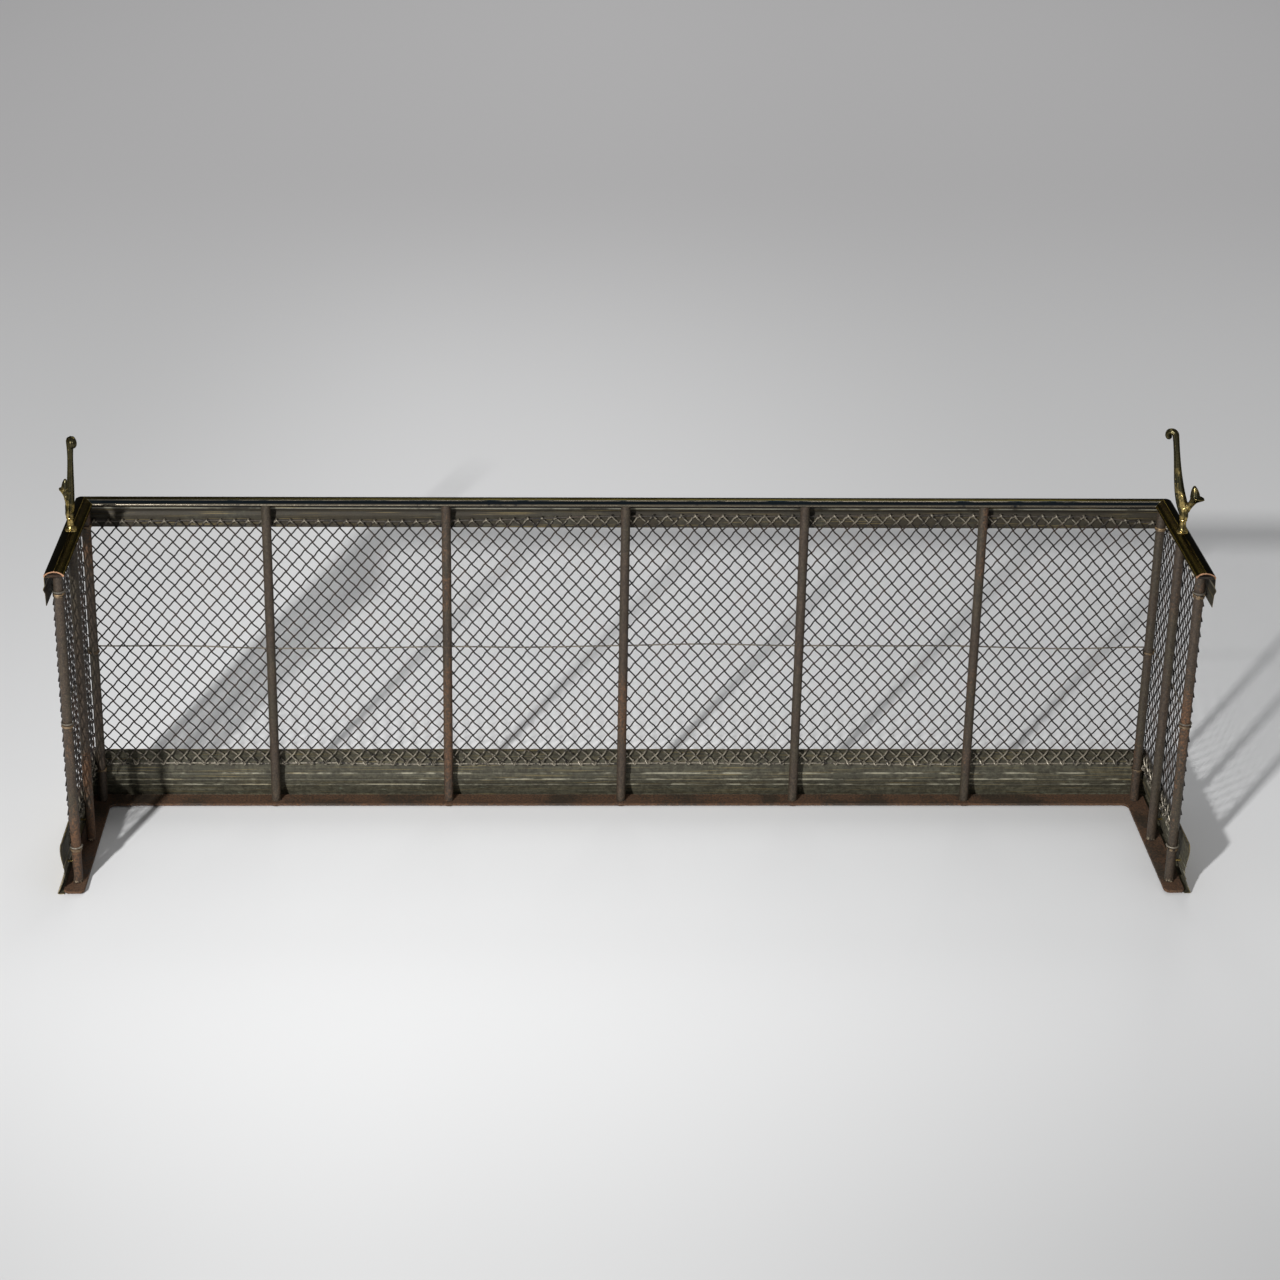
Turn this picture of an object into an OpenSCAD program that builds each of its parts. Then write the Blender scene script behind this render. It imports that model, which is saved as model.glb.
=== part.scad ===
// Fire fender of brass, iron and wire: a three-sided guard that stands round a hearth.
// Eleven iron posts rise from a flat iron base, and carry a brass rail with a hanging frieze.
// Wire netting fills the sides, a brass ogee skirt hides the foot of it, and a turning
// brass rest for fire irons stands on each side rail.
// The open side faces -Y, the long front faces +Y, and Z = 0 is the floor.

/* [Overall] */
// Distance between the two corner posts, centre to centre
post_span = 1200; // [900:10:1500]
// Distance from a corner post to the end post of its side, centre to centre
side_reach = 177; // [140:1:260]
// Length of a post between the base plate and the iron bar in the rail
post_h = 374; // [300:1:460]

/* [Posts] */
// Diameter of a post
post_d = 10.5; // [8:0.5:12]
// Diameter of the tenons at both ends of a post
tenon_d = 6; // [5:0.5:6.5]
// Diameter of the low dome that a post is riveted over below the base plate
foot_d = 18; // [11:0.5:18.5]
// Height of the riveted head, which is what the fender stands on
foot_h = 2; // [1.5:0.1:3]
// Height of the riveted head inside the rail
top_head_h = 1.8; // [1:0.1:2]
// Diameter of the spigot on which a fire iron rest turns
spigot_d = 4; // [3:0.2:4.4]
// Height of the spigot above the rest's seat
spigot_h = 17; // [10:0.5:20]

/* [Base plate] */
// Thickness of the base plate
plate_t = 3; // [2:0.5:5]
// Reach of the base plate from the post line towards the hearth
plate_in = 9.5; // [7:0.5:14]
// Reach of the base plate from the post line outwards
plate_out = 13; // [7:0.5:14]
// Length of the base plate beyond the end posts
plate_over = 22; // [15:0.5:30]
// Radius of the plate's inner corners
plate_inner_r = 8; // [3:0.5:15]
// Radius of the plate's rounded ends
plate_end_r = 6; // [2:0.5:7]

/* [Rail] */
// Width of the iron bar inside the rail
bar_w = 16; // [14:0.5:18]
// Thickness of the iron bar inside the rail
bar_t = 2.5; // [2:0.1:4]
// Wall of the brass rail
rail_t = 1.2; // [0.8:0.1:1.5]
// Reach of the brass rail from the post line towards the hearth
rail_in = 10.5; // [10.2:0.1:13]
// Reach of the brass rail from the post line outwards
rail_out = 11; // [10.8:0.1:13]
// Height of the rail's arch over its width
rail_rise = 4.5; // [4.3:0.1:6]
// Radius of the roll along the rail's inner edge
rail_roll_r = 1.2; // [0.8:0.1:1.2]
// Radius of the fine bead along the rail's crown
rail_bead_r = 0.7; // [0.4:0.1:1]
// Length of the rail beyond the end posts
rail_over = 19; // [12:0.5:30]

/* [Sheet brass] */
// Thickness of the frieze and the skirt
sheet_t = 0.8; // [0.6:0.1:1]
// Height of the frieze below the iron bar
frieze_h = 33; // [25:1:45]
// Distance of the frieze's bead below the iron bar
frieze_bead_drop = 14.5; // [12:0.5:18]
// Height of the frieze's bead
frieze_bead_h = 10; // [6:0.5:12]
// How far the frieze's bead stands out
frieze_bead_out = 1.7; // [0.5:0.1:2.5]
// Height of the skirt's top edge above the base plate
skirt_h = 60; // [50:1:80]
// Distance of the skirt's widest swell below its top edge
skirt_swell_drop = 12; // [8:0.5:16]
// Height of the skirt's waist above the base plate
skirt_waist_h = 21.5; // [15:0.5:26]
// Reach of the skirt's swell from the post line
skirt_swell_out = 13.9; // [11:0.1:18]
// Reach of the skirt's foot from the post line
skirt_foot_out = 19.6; // [16:0.1:26]
// Width of the hem that is turned in along the skirt's foot
skirt_hem = 6.5; // [3:0.5:7.5]
// Height of each of the three reeds round the waist
skirt_reed_h = 2.6; // [1.5:0.1:3.5]
// How far a reed stands out
skirt_reed_out = 0.7; // [0.2:0.1:1.2]
// Distance from one reed to the next
skirt_reed_pitch = 7.6; // [5:0.1:9]

/* [Wire] */
// Diameter of the border wires and the middle wire
wire_d = 2; // [1.5:0.1:2.4]
// Thickness of the netting
net_t = 1.4; // [1:0.1:1.8]
// Height of the bottom border wire above the base plate
net_low = 44; // [33:1:50]
// Distance of the top border wire below the iron bar
net_drop = 24; // [20:0.5:28]
// Height of the middle wire above the base plate
mid_wire_h = 195; // [120:1:240]
// Diameter of the soft wire of the post ties
tie_d = 1.2; // [0.8:0.1:1.4]

/* [Fire iron rests] */
// Direction in which the left rest's bud points, anticlockwise from +X
left_rest_turn = 118; // [-180:1:180]
// Direction in which the right rest's bud points, anticlockwise from +X
right_rest_turn = -33; // [-180:1:180]
// Height of the rest's turned stem up to the fork
stem_h = 31; // [28:0.5:34]
// Radius of the stem's round foot
stem_foot_r = 6; // [5:0.1:8]
// Radius of the stem's vase
stem_vase_r = 4.8; // [4.5:0.1:6]
// Height of the tall arm's arch above the rest's seat
arm_h = 116; // [95:1:135]
// How far the tall arm's top leans back from the stem
arm_lean = 17.2; // [13:0.1:20]
// Radius of the scroll at the top of the arm
scroll_r = 5.2; // [5:0.1:8]
// Radius of the roll at the end of the scroll
ball_r = 3.1; // [2.4:0.1:3.5]
// Height of the bud's tip above the rest's seat
bud_h = 55; // [53:0.5:62]
// Distance of the bud's tip from the stem's axis
bud_reach = 8.8; // [7.5:0.1:11]

/* [Hidden] */

// Colours
iron = [0.37, 0.28, 0.22];
dull_brass = [0.45, 0.40, 0.22];
bright_brass = [0.66, 0.54, 0.27];
wire_grey = [0.36, 0.33, 0.30];

// Clearances and facets
fit = 0.05;            // radial clearance of a pin in its hole
seat_gap = 0.1;        // gap between pieces that lie against each other
sheet_gap = 0.2;       // gap between the netting and the sheet brass over it
flange_gap = 0.4;      // gap between a post and the edge of the frieze's flange
roughly = 96;          // facets of a large circle
fine = 32;             // facets of a small circle
past = 1;              // how far a cutter passes a face

// Layout: where the posts stand and how far each run goes
front_posts = 5;
bays = front_posts + 1;
half_span = post_span/2;
post_pitch = post_span/bays;
post_r = post_d/2;
depth = side_reach + plate_over + skirt_foot_out;
post_y = depth/2 - skirt_foot_out;
side_y = post_y - side_reach/2;
end_y = post_y - side_reach;
plate_end_y = end_y - plate_over;
rail_end_y = end_y - rail_over;

// Levels, from the floor up
plate_z = foot_h;
base_z = plate_z + plate_t;
bar_z = base_z + post_h;
bar_top_z = bar_z + bar_t;

// Brass rail: an arch of one radius, seated on the corners of the iron bar
rail_mid = (rail_out - rail_in)/2;
rail_half = (rail_out + rail_in)/2;
rail_r = (rail_half*rail_half + rail_rise*rail_rise)/(2*rail_rise);
bar_corner = bar_w/2 + abs(rail_mid);
crown_z = bar_top_z + seat_gap + rail_r - sqrt(pow(rail_r - rail_t, 2) - pow(bar_corner, 2));
rail_edge_z = crown_z - rail_rise;
rail_axis_z = crown_z - rail_r;
rail_bead_z = crown_z - rail_bead_r/3;

// Wire and netting stand off the posts in this order: post, border wire, netting
wire_r = wire_d/2;
wire_off = post_r + seat_gap + wire_r;
net_off = wire_off + wire_r + seat_gap;
net_face = net_off + net_t;
net_z = base_z + net_low;
net_top_z = bar_z - net_drop;
mid_wire_z = base_z + mid_wire_h;
wire_z = [net_z, mid_wire_z, net_top_z];

// Seat of the fire iron rests, on a saddle over the rail's crown
saddle_h = 1.5;
saddle_z = crown_z + saddle_h;
rest_z = saddle_z + seat_gap;
rest_bore_d = spigot_d + 2*fit;
rest_bore_h = spigot_h + 1;

// ---------- shared helpers ----------

module mirrored() {
    mirror([1, 0, 0]) children();
}

// Runs a cross-section (offset outwards, height) along the front, cut off at the mitres
module front_run(reach) {
    intersection() {
        translate([0, post_y, 0])
            rotate([90, 0, 90])
                linear_extrude(height=post_span + 4*reach, center=true) children();
        linear_extrude(height=bar_top_z + 4*rail_rise)
            polygon([[-half_span + 2*reach, post_y - 2*reach], [half_span - 2*reach, post_y - 2*reach],
                     [half_span + 2*reach, post_y + 2*reach], [-half_span - 2*reach, post_y + 2*reach]]);
    }
}

// Runs a cross-section along the right side, from the corner's mitre to y_end
module side_run(reach, y_end) {
    intersection() {
        translate([half_span, post_y + 2*reach, 0])
            rotate([90, 0, 0])
                linear_extrude(height=post_y + 2*reach - y_end) children();
        linear_extrude(height=bar_top_z + 4*rail_rise)
            polygon([[half_span - 2*reach, y_end - past], [half_span + 2*reach, y_end - past],
                     [half_span + 2*reach, post_y + 2*reach], [half_span - 2*reach, post_y - 2*reach]]);
    }
}

// Unit vector along a direction in the plane
function unit2(v) = v/norm(v);

// Points of a line moved sideways by d, along the mean normal of its neighbours
function shifted(line, d) = [for (i = [0:len(line) - 1])
    let (a = line[max(i - 1, 0)], b = line[min(i + 1, len(line) - 1)], t = unit2(b - a))
    line[i] + d*[-t[1], t[0]]];

// Closed outline of a sheet of thickness t whose middle follows the line
function sheet(line, t) = concat(shifted(line, t/2),
    [for (p = [len(line) - 1:-1:0]) shifted(line, -t/2)[p]]);

// ---------- posts ----------

top_head_over = 1;     // how far the head inside the rail stands out round its tenon

// Post with a riveted tenon at the foot, drawn from its own axis
module post_body() {
    translate([0, 0, base_z]) cylinder(d=post_d, h=post_h, $fn=fine);
    translate([0, 0, foot_h - seat_gap]) cylinder(d=tenon_d, h=plate_t + 2*seat_gap, $fn=fine);
    rotate_extrude($fn=fine)
        polygon(concat([[0, 0]],
            [for (a = [0:15:90]) [foot_d/4*(1 + sin(a)), foot_h*(1 - cos(a))]],
            [[0, foot_h]]));
}

// Post riveted over the iron bar
module riveted_post(x, y) {
    color(iron)
        difference() {
            translate([x, y, 0]) {
                post_body();
                translate([0, 0, bar_z - seat_gap]) cylinder(d=tenon_d, h=bar_t + 2*seat_gap, $fn=fine);
                translate([0, 0, bar_top_z])
                    cylinder(d1=tenon_d + 2*top_head_over, d2=tenon_d - top_head_over, h=top_head_h, $fn=fine);
            }
            screw_holes(screw_grip - seat_gap);
        }
}

// Post whose spigot goes on through the rail, to carry a fire iron rest
module spigot_post(x, y) {
    color(iron)
        difference() {
            translate([x, y, 0]) {
                post_body();
                translate([0, 0, bar_z - seat_gap])
                    cylinder(d=spigot_d, h=rest_z + spigot_h - bar_z + seat_gap, $fn=fine);
            }
            screw_holes(screw_grip - seat_gap);
        }
}

module front_post(i) {
    riveted_post((i - bays/2)*post_pitch, post_y);
}

module left_corner_post() riveted_post(-half_span, post_y);
module right_corner_post() riveted_post(half_span, post_y);
module left_side_post() spigot_post(-half_span, side_y);
module right_side_post() spigot_post(half_span, side_y);
module left_end_post() riveted_post(-half_span, end_y);
module right_end_post() riveted_post(half_span, end_y);

// Every post's place, from the left end round to the right end
post_places = concat(
    [for (y = [end_y, side_y]) [-half_span, y]],
    [for (i = [0:bays]) [(i - bays/2)*post_pitch, post_y]],
    [for (y = [side_y, end_y]) [half_span, y]]);

// ---------- base plate ----------

// Rectangle whose four corners are round
module round_rect(x0, y0, x1, y1, r) {
    translate([x0 + r, y0]) square([x1 - x0 - 2*r, y1 - y0]);
    translate([x0, y0 + r]) square([x1 - x0, y1 - y0 - 2*r]);
    for (x = [x0 + r, x1 - r], y = [y0 + r, y1 - r])
        translate([x, y]) circle(r=r, $fn=fine);
}

// One leg of the plate with its rounded end
module plate_leg() {
    round_rect(half_span - plate_in, plate_end_y, half_span + plate_out, post_y, plate_end_r);
}

module base_plate() {
    color(iron)
        translate([0, 0, plate_z])
            difference() {
                linear_extrude(height=plate_t) {
                    plate_leg();
                    mirrored() plate_leg();
                    difference() {
                        translate([-half_span - plate_out, post_y - plate_in - plate_inner_r])
                            square([post_span + 2*plate_out, plate_in + plate_inner_r + plate_out]);
                        round_rect(-half_span + plate_in, end_y, half_span - plate_in,
                            post_y - plate_in, plate_inner_r);
                    }
                }
                for (p = post_places)
                    translate([p[0], p[1], -past])
                        cylinder(d=tenon_d + 2*fit, h=plate_t + 2*past, $fn=fine);
            }
}

// ---------- iron bars in the rail ----------

// Middle of each bay, where a frieze rivet goes through bar and flange
rivet_d = 2;
rivet_head_d = 3.6;
rivet_head_h = 1;
rivet_off = rivet_head_d/2 + post_r + sheet_gap;
side_rivet_y = [for (k = [0, 1]) end_y + (k + 0.5)*side_reach/2];
front_rivet_x = [for (i = [0:bays - 1]) (i + 0.5 - bays/2)*post_pitch];

module bar_holes() {
    for (p = post_places)
        translate([p[0], p[1], bar_z - past])
            cylinder(d=(p[1] == side_y ? spigot_d : tenon_d) + 2*fit, h=bar_t + 2*past, $fn=fine);
    for (x = front_rivet_x)
        translate([x, post_y + rivet_off, bar_z - past])
            cylinder(d=rivet_d + 2*fit, h=bar_t + 2*past, $fn=fine);
    for (s = [-1, 1], y = side_rivet_y)
        translate([s*(half_span + rivet_off), y, bar_z - past])
            cylinder(d=rivet_d + 2*fit, h=bar_t + 2*past, $fn=fine);
}

// Front bar: its ends are halved and lie over the side bars, under the corner posts' heads
module front_top_bar() {
    color(iron)
        difference() {
            union() {
                translate([-half_span + bar_w/2, post_y - bar_w/2, bar_z])
                    cube([post_span - bar_w, bar_w, bar_t]);
                translate([-half_span - bar_w/2, post_y - bar_w/2, bar_z + bar_t/2])
                    cube([post_span + bar_w, bar_w, bar_t/2]);
            }
            bar_holes();
        }
}

module right_top_bar() {
    bar_end_y = rail_end_y + seat_gap;
    color(iron)
        difference() {
            union() {
                translate([half_span - bar_w/2, bar_end_y, bar_z])
                    cube([bar_w, post_y - bar_w/2 - bar_end_y, bar_t]);
                translate([half_span - bar_w/2, bar_end_y, bar_z])
                    cube([bar_w, post_y + bar_w/2 - bar_end_y, bar_t/2]);
            }
            bar_holes();
        }
}

module left_top_bar() mirrored() right_top_bar();

// ---------- brass rail ----------

module rail_section() {
    intersection() {
        difference() {
            translate([rail_mid, rail_axis_z]) circle(r=rail_r, $fn=roughly);
            translate([rail_mid, rail_axis_z]) circle(r=rail_r - rail_t, $fn=roughly);
        }
        translate([-rail_in, rail_edge_z]) square([rail_in + rail_out, 2*rail_rise]);
    }
    translate([rail_out - rail_t, bar_z]) square([rail_t, rail_edge_z - bar_z + rail_t]);
    translate([-rail_in + rail_roll_r, rail_edge_z]) circle(r=rail_roll_r, $fn=fine);
    translate([rail_mid, rail_bead_z]) circle(r=rail_bead_r, $fn=fine);
}

module front_rail() {
    color(dull_brass) front_run(rail_out) rail_section();
}

module right_rail() {
    color(dull_brass)
        difference() {
            side_run(rail_out, rail_end_y) rail_section();
            translate([half_span, side_y, bar_z])
                cylinder(d=spigot_d + 2*fit, h=saddle_z - bar_z, $fn=fine);
        }
}

module left_rail() mirrored() right_rail();

// ---------- frieze ----------

frieze_out = rail_out - sheet_t/2;
frieze_tip_out = net_face + sheet_gap + sheet_t/2;
frieze_bead_z = bar_z - frieze_bead_drop;
flange_mid_z = bar_z - sheet_t/2;
frieze_bend_r = 1;
frieze_short = 0.5;    // how much sooner than the rail the frieze ends

// Middle of the sheet: flange under the bar, bend, rounded bead, and taper to the lower edge
frieze_line = concat(
    [[post_r + flange_gap, flange_mid_z]],
    [for (a = [90:-30:0]) [frieze_out - frieze_bend_r*(1 - cos(a)), flange_mid_z - frieze_bend_r*(1 - sin(a))]],
    [for (a = [0:30:360]) [frieze_out + frieze_bead_out*(1 - cos(a))/2,
                           frieze_bead_z + frieze_bead_h*(0.5 - a/360)]],
    [[frieze_tip_out, bar_z - frieze_h]]);

module frieze_section() {
    polygon(sheet(frieze_line, sheet_t));
}

// Rivet holes through the flange
module frieze_holes() {
    for (x = front_rivet_x)
        translate([x, post_y + rivet_off, bar_z - sheet_t - past])
            cylinder(d=rivet_d + 2*fit, h=sheet_t + 2*past, $fn=fine);
    for (y = side_rivet_y)
        translate([half_span + rivet_off, y, bar_z - sheet_t - past])
            cylinder(d=rivet_d + 2*fit, h=sheet_t + 2*past, $fn=fine);
}

module front_frieze() {
    color(dull_brass)
        difference() {
            front_run(rail_out) frieze_section();
            frieze_holes();
        }
}

module right_frieze() {
    color(dull_brass)
        difference() {
            side_run(rail_out, rail_end_y + frieze_short) frieze_section();
            frieze_holes();
        }
}

module left_frieze() mirrored() right_frieze();

// Small round-headed rivet, head down
module frieze_rivet() {
    flange_z = bar_z - sheet_t;
    translate([0, 0, flange_z - seat_gap]) cylinder(d=rivet_d, h=sheet_t + bar_t, $fn=fine);
    rotate_extrude($fn=fine)
        polygon([[0, flange_z - rivet_head_h], [rivet_head_d/4, flange_z - rivet_head_h],
                 [rivet_head_d/2, flange_z - rivet_head_h/3], [rivet_head_d/2, flange_z], [0, flange_z]]);
}

module frieze_rivets() {
    color(dull_brass) {
        for (x = front_rivet_x)
            translate([x, post_y + rivet_off, 0]) frieze_rivet();
        for (s = [-1, 1], y = side_rivet_y)
            translate([s*(half_span + rivet_off), y, 0]) frieze_rivet();
    }
}

// ---------- skirt ----------

skirt_waist_over = 0.5; // how much further out the waist lies than the lip
skirt_flare = 1.35;    // power of the curve from waist to foot
skirt_short = 1.5;     // how much sooner than the base plate the skirt ends
skirt_lip_out = net_face + sheet_gap + sheet_t/2;
skirt_swell_mid = skirt_swell_out - sheet_t/2;
skirt_waist_mid = skirt_lip_out + skirt_waist_over;
skirt_foot_mid = skirt_foot_out - sheet_t/2;
skirt_foot_z = foot_h/2;
skirt_bend = 0.9;      // radius of the bend from the flare into the hem
skirt_toe_z = skirt_foot_z + skirt_bend;
skirt_top_z = base_z + skirt_h;
skirt_swell_z = skirt_top_z - skirt_swell_drop;
skirt_waist_z = base_z + skirt_waist_h;

// One reed: a smooth bump round the height z0
function reed(z, z0) = abs(z - z0) < skirt_reed_h/2
    ? skirt_reed_out*(1 + cos(360*(z - z0)/skirt_reed_h))/2 : 0;

// The three reeds round the waist
function reeds(z) = reed(z, skirt_waist_z) + reed(z, skirt_waist_z + skirt_reed_pitch)
    + reed(z, skirt_waist_z - skirt_reed_pitch);

// Reach of the sheet's middle below its swell: an ogee from swell to waist, then a flare
function skirt_reach(z) = z > skirt_waist_z
    ? skirt_waist_mid + (skirt_swell_mid - skirt_waist_mid)
        *(1 - cos(180*(z - skirt_waist_z)/(skirt_swell_z - skirt_waist_z)))/2
    : skirt_waist_mid + (skirt_foot_mid - skirt_waist_mid)
        *pow((skirt_waist_z - z)/(skirt_waist_z - skirt_toe_z), skirt_flare);

skirt_step = 0.65;
skirt_steps = floor((skirt_swell_z - skirt_toe_z)/skirt_step);
skirt_line = concat(
    [for (a = [90:-15:15]) [skirt_lip_out + (skirt_swell_mid - skirt_lip_out)*cos(a),
                            skirt_swell_z + skirt_swell_drop*sin(a)]],
    [for (k = [0:skirt_steps]) let (z = skirt_swell_z - k*(skirt_swell_z - skirt_toe_z)/skirt_steps)
        [skirt_reach(z) + reeds(z), z]],
    [for (a = [30:30:90]) [skirt_foot_mid - skirt_bend + skirt_bend*cos(a),
                           skirt_toe_z - skirt_bend*sin(a)]],
    [[skirt_foot_mid - skirt_hem, skirt_foot_z]]);

screw_d = 2.5;
screw_head_d = 4.6;
screw_head_h = 1.4;
screw_z = skirt_waist_z + skirt_reed_pitch/2;
screw_grip = post_r/2;

module skirt_section() {
    polygon(sheet(skirt_line, sheet_t));
}

// Outward direction of each post that a skirt screw goes into: 0 front, -1 left, 1 right
screw_places = concat(
    [for (s = [-1, 1], y = [end_y, side_y]) [s*half_span, y, s]],
    [for (i = [1:bays - 1]) [(i - bays/2)*post_pitch, post_y, 0]]);

// Places something that points outwards along +Y at every screw
module at_screws() {
    for (p = screw_places)
        translate([p[0], p[1], screw_z]) rotate([0, 0, -90*p[2]]) children();
}

// Holes for the screws, from the given distance outwards
module screw_holes(start) {
    at_screws()
        translate([0, start, 0])
            rotate([-90, 0, 0]) cylinder(d=screw_d + 2*fit, h=skirt_foot_out, $fn=fine);
}

module front_skirt() {
    color(dull_brass)
        difference() {
            front_run(skirt_foot_out) skirt_section();
            screw_holes(post_r);
        }
}

module right_skirt() {
    color(dull_brass)
        difference() {
            side_run(skirt_foot_out, plate_end_y + skirt_short) skirt_section();
            screw_holes(post_r);
        }
}

module left_skirt() mirrored() right_skirt();

// Round-headed screws through the skirt into the posts. The head bears on the skirt where it
// swells out above the screw
module skirt_screws() {
    head_y = skirt_reach(screw_z + screw_head_d/2) + sheet_t/2 + seat_gap;
    color(dull_brass)
        at_screws()
            rotate([-90, 0, 0]) {
                translate([0, 0, screw_grip])
                    cylinder(d=screw_d, h=head_y + seat_gap - screw_grip, $fn=fine);
                translate([0, 0, head_y])
                    cylinder(d1=screw_head_d, d2=screw_head_d/2, h=screw_head_h, $fn=fine);
            }
}

// ---------- netting and wire ----------

net_columns = 19;
net_rows = 5;
side_columns = 3;
strand = 1.6;

// Flat diamond netting in a rim, drawn from its lower left corner
module netting(w, h, columns, rows) {
    dx = w/columns;
    dy = h/rows;
    difference() {
        square([w, h]);
        intersection() {
            translate([strand, strand]) square([w - 2*strand, h - 2*strand]);
            for (i = [0:2*columns], j = [0:2*rows])
                if ((i + j) % 2 == 1)
                    translate([i*dx/2, j*dy/2])
                        polygon([[-dx/2 + strand, 0], [0, -dy/2 + strand],
                                 [dx/2 - strand, 0], [0, dy/2 - strand]]);
        }
    }
}

module front_netting() {
    w = 2*(half_span + net_off - seat_gap);
    color(wire_grey)
        translate([-w/2, post_y + net_face, net_z])
            rotate([90, 0, 0])
                linear_extrude(height=net_t) netting(w, net_top_z - net_z, net_columns, net_rows);
}

module right_netting() {
    w = side_reach + post_r + net_face;
    color(wire_grey)
        translate([half_span + net_off, end_y - post_r, net_z])
            rotate([90, 0, 90])
                linear_extrude(height=net_t) netting(w, net_top_z - net_z, side_columns, net_rows);
}

module left_netting() mirrored() right_netting();

// Bend of the wire from a corner post down the side, and its hook round the end post
module wire_side(z) {
    translate([half_span, post_y, z])
        rotate_extrude(angle=90, $fn=roughly) translate([wire_off, 0]) circle(r=wire_r, $fn=fine);
    translate([half_span + wire_off, post_y, z])
        rotate([90, 0, 0]) cylinder(r=wire_r, h=side_reach, $fn=fine);
    translate([half_span, end_y, z])
        mirror([0, 1, 0])
            rotate_extrude(angle=180, $fn=roughly) translate([wire_off, 0]) circle(r=wire_r, $fn=fine);
}

// Horizontal wire along the front, round the corner posts, down both sides, to a hook at each end
module bent_wire(z) {
    color(wire_grey) {
        translate([-half_span, post_y + wire_off, z])
            rotate([0, 90, 0]) cylinder(r=wire_r, h=post_span, $fn=fine);
        wire_side(z);
        mirrored() wire_side(z);
    }
}

module top_border_wire() bent_wire(net_top_z);
module middle_wire() bent_wire(mid_wire_z);
module bottom_border_wire() bent_wire(net_z);

// Soft wire rings that hold the border wires to the corner and end posts
module right_post_ties() {
    color(wire_grey)
        for (y = [post_y, end_y], z = wire_z)
            translate([half_span, y, z - wire_r - seat_gap - tie_d/2])
                rotate_extrude($fn=fine)
                    translate([post_r + seat_gap + tie_d/2, 0]) circle(d=tie_d, $fn=fine/2);
}

module left_post_ties() mirrored() right_post_ties();

// ---------- fire iron rests ----------

// Saddle that fits over the rail's arch and gives the rest a level seat
module right_rest_saddle() {
    color(bright_brass)
        translate([half_span, side_y, 0])
            difference() {
                translate([0, 0, rail_edge_z])
                    cylinder(r=stem_foot_r, h=saddle_z - rail_edge_z, $fn=fine);
                translate([rail_mid, 0, rail_axis_z])
                    rotate([90, 0, 0]) cylinder(r=rail_r + fit, h=4*stem_foot_r, center=true, $fn=roughly);
                translate([rail_mid, 0, rail_bead_z])
                    rotate([90, 0, 0]) cylinder(r=rail_bead_r + fit, h=4*stem_foot_r, center=true, $fn=fine);
                cylinder(d=spigot_d + 2*fit, h=saddle_z + past, $fn=fine);
            }
}

module left_rest_saddle() mirrored() right_rest_saddle();

// Turned stem: foot flange, tall cove, ring, vase, knop and top, with the blind bore
stem_wall = 1.3;
stem_edge_h = 1.4;
stem_cove_h = 10;
stem_ring_r = 1;
stem_knop_r = 1.6;
stem_top_h = 3;

module rest_stem() {
    neck_r = rest_bore_d/2 + stem_wall;
    ring_z = stem_edge_h + stem_cove_h + 1.2*stem_ring_r;
    knop_z = stem_h - stem_top_h - stem_knop_r;
    vase_z = (ring_z + stem_ring_r + knop_z - stem_knop_r)/2;
    vase_half = vase_z - ring_z - stem_ring_r;
    difference() {
        rotate_extrude($fn=fine)
            polygon(concat([[0, 0], [stem_foot_r, 0], [stem_foot_r, stem_edge_h]],
                [for (a = [0:18:90])
                    [neck_r + (stem_foot_r - neck_r)*(1 - sin(a)), stem_edge_h + stem_cove_h*(1 - cos(a))]],
                [for (a = [-60:30:60]) [neck_r + stem_ring_r*cos(a), ring_z + stem_ring_r*sin(a)]],
                [for (a = [-90:15:90]) [neck_r + (stem_vase_r - neck_r)*cos(a), vase_z + vase_half*sin(a)]],
                [for (a = [-60:30:60]) [neck_r + stem_ring_r*cos(a), knop_z + stem_knop_r*sin(a)]],
                [[neck_r - stem_wall, stem_h], [0, stem_h]]));
        translate([0, 0, -past]) cylinder(d=rest_bore_d, h=rest_bore_h + past, $fn=fine);
    }
}

// Ring of n points round a station [across, up, half width in plane, half width out of plane, lean]
function ring(s, n) = [for (k = [0:n - 1]) let (a = 360*k/n)
    [s[0] + s[2]*cos(a)*cos(s[4]), s[3]*sin(a), s[1] + s[2]*cos(a)*sin(s[4])]];

// Closed skin over a row of stations
module loft(stations, n) {
    m = len(stations);
    points = concat([for (s = stations) each ring(s, n)],
        [[stations[0][0], 0, stations[0][1]], [stations[m - 1][0], 0, stations[m - 1][1]]]);
    sides = [for (i = [0:m - 2], k = [0:n - 1]) let (a = i*n + k, b = i*n + (k + 1)%n)
        each [[a, a + n, b + n], [a, b + n, b]]];
    caps = [for (k = [0:n - 1]) let (a = k, b = (k + 1)%n)
        each [[m*n, a, b], [m*n + 1, (m - 1)*n + b, (m - 1)*n + a]]];
    polyhedron(points=points, faces=concat(sides, caps), convexity=8);
}

// Cubic curve through four control points
function curve(a, b, c, d, t) = pow(1 - t, 3)*a + 3*t*pow(1 - t, 2)*b + 3*t*t*(1 - t)*c + pow(t, 3)*d;
function curve_dir(a, b, c, d, t) = pow(1 - t, 2)*(b - a) + 2*t*(1 - t)*(c - b) + t*t*(d - c);

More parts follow.
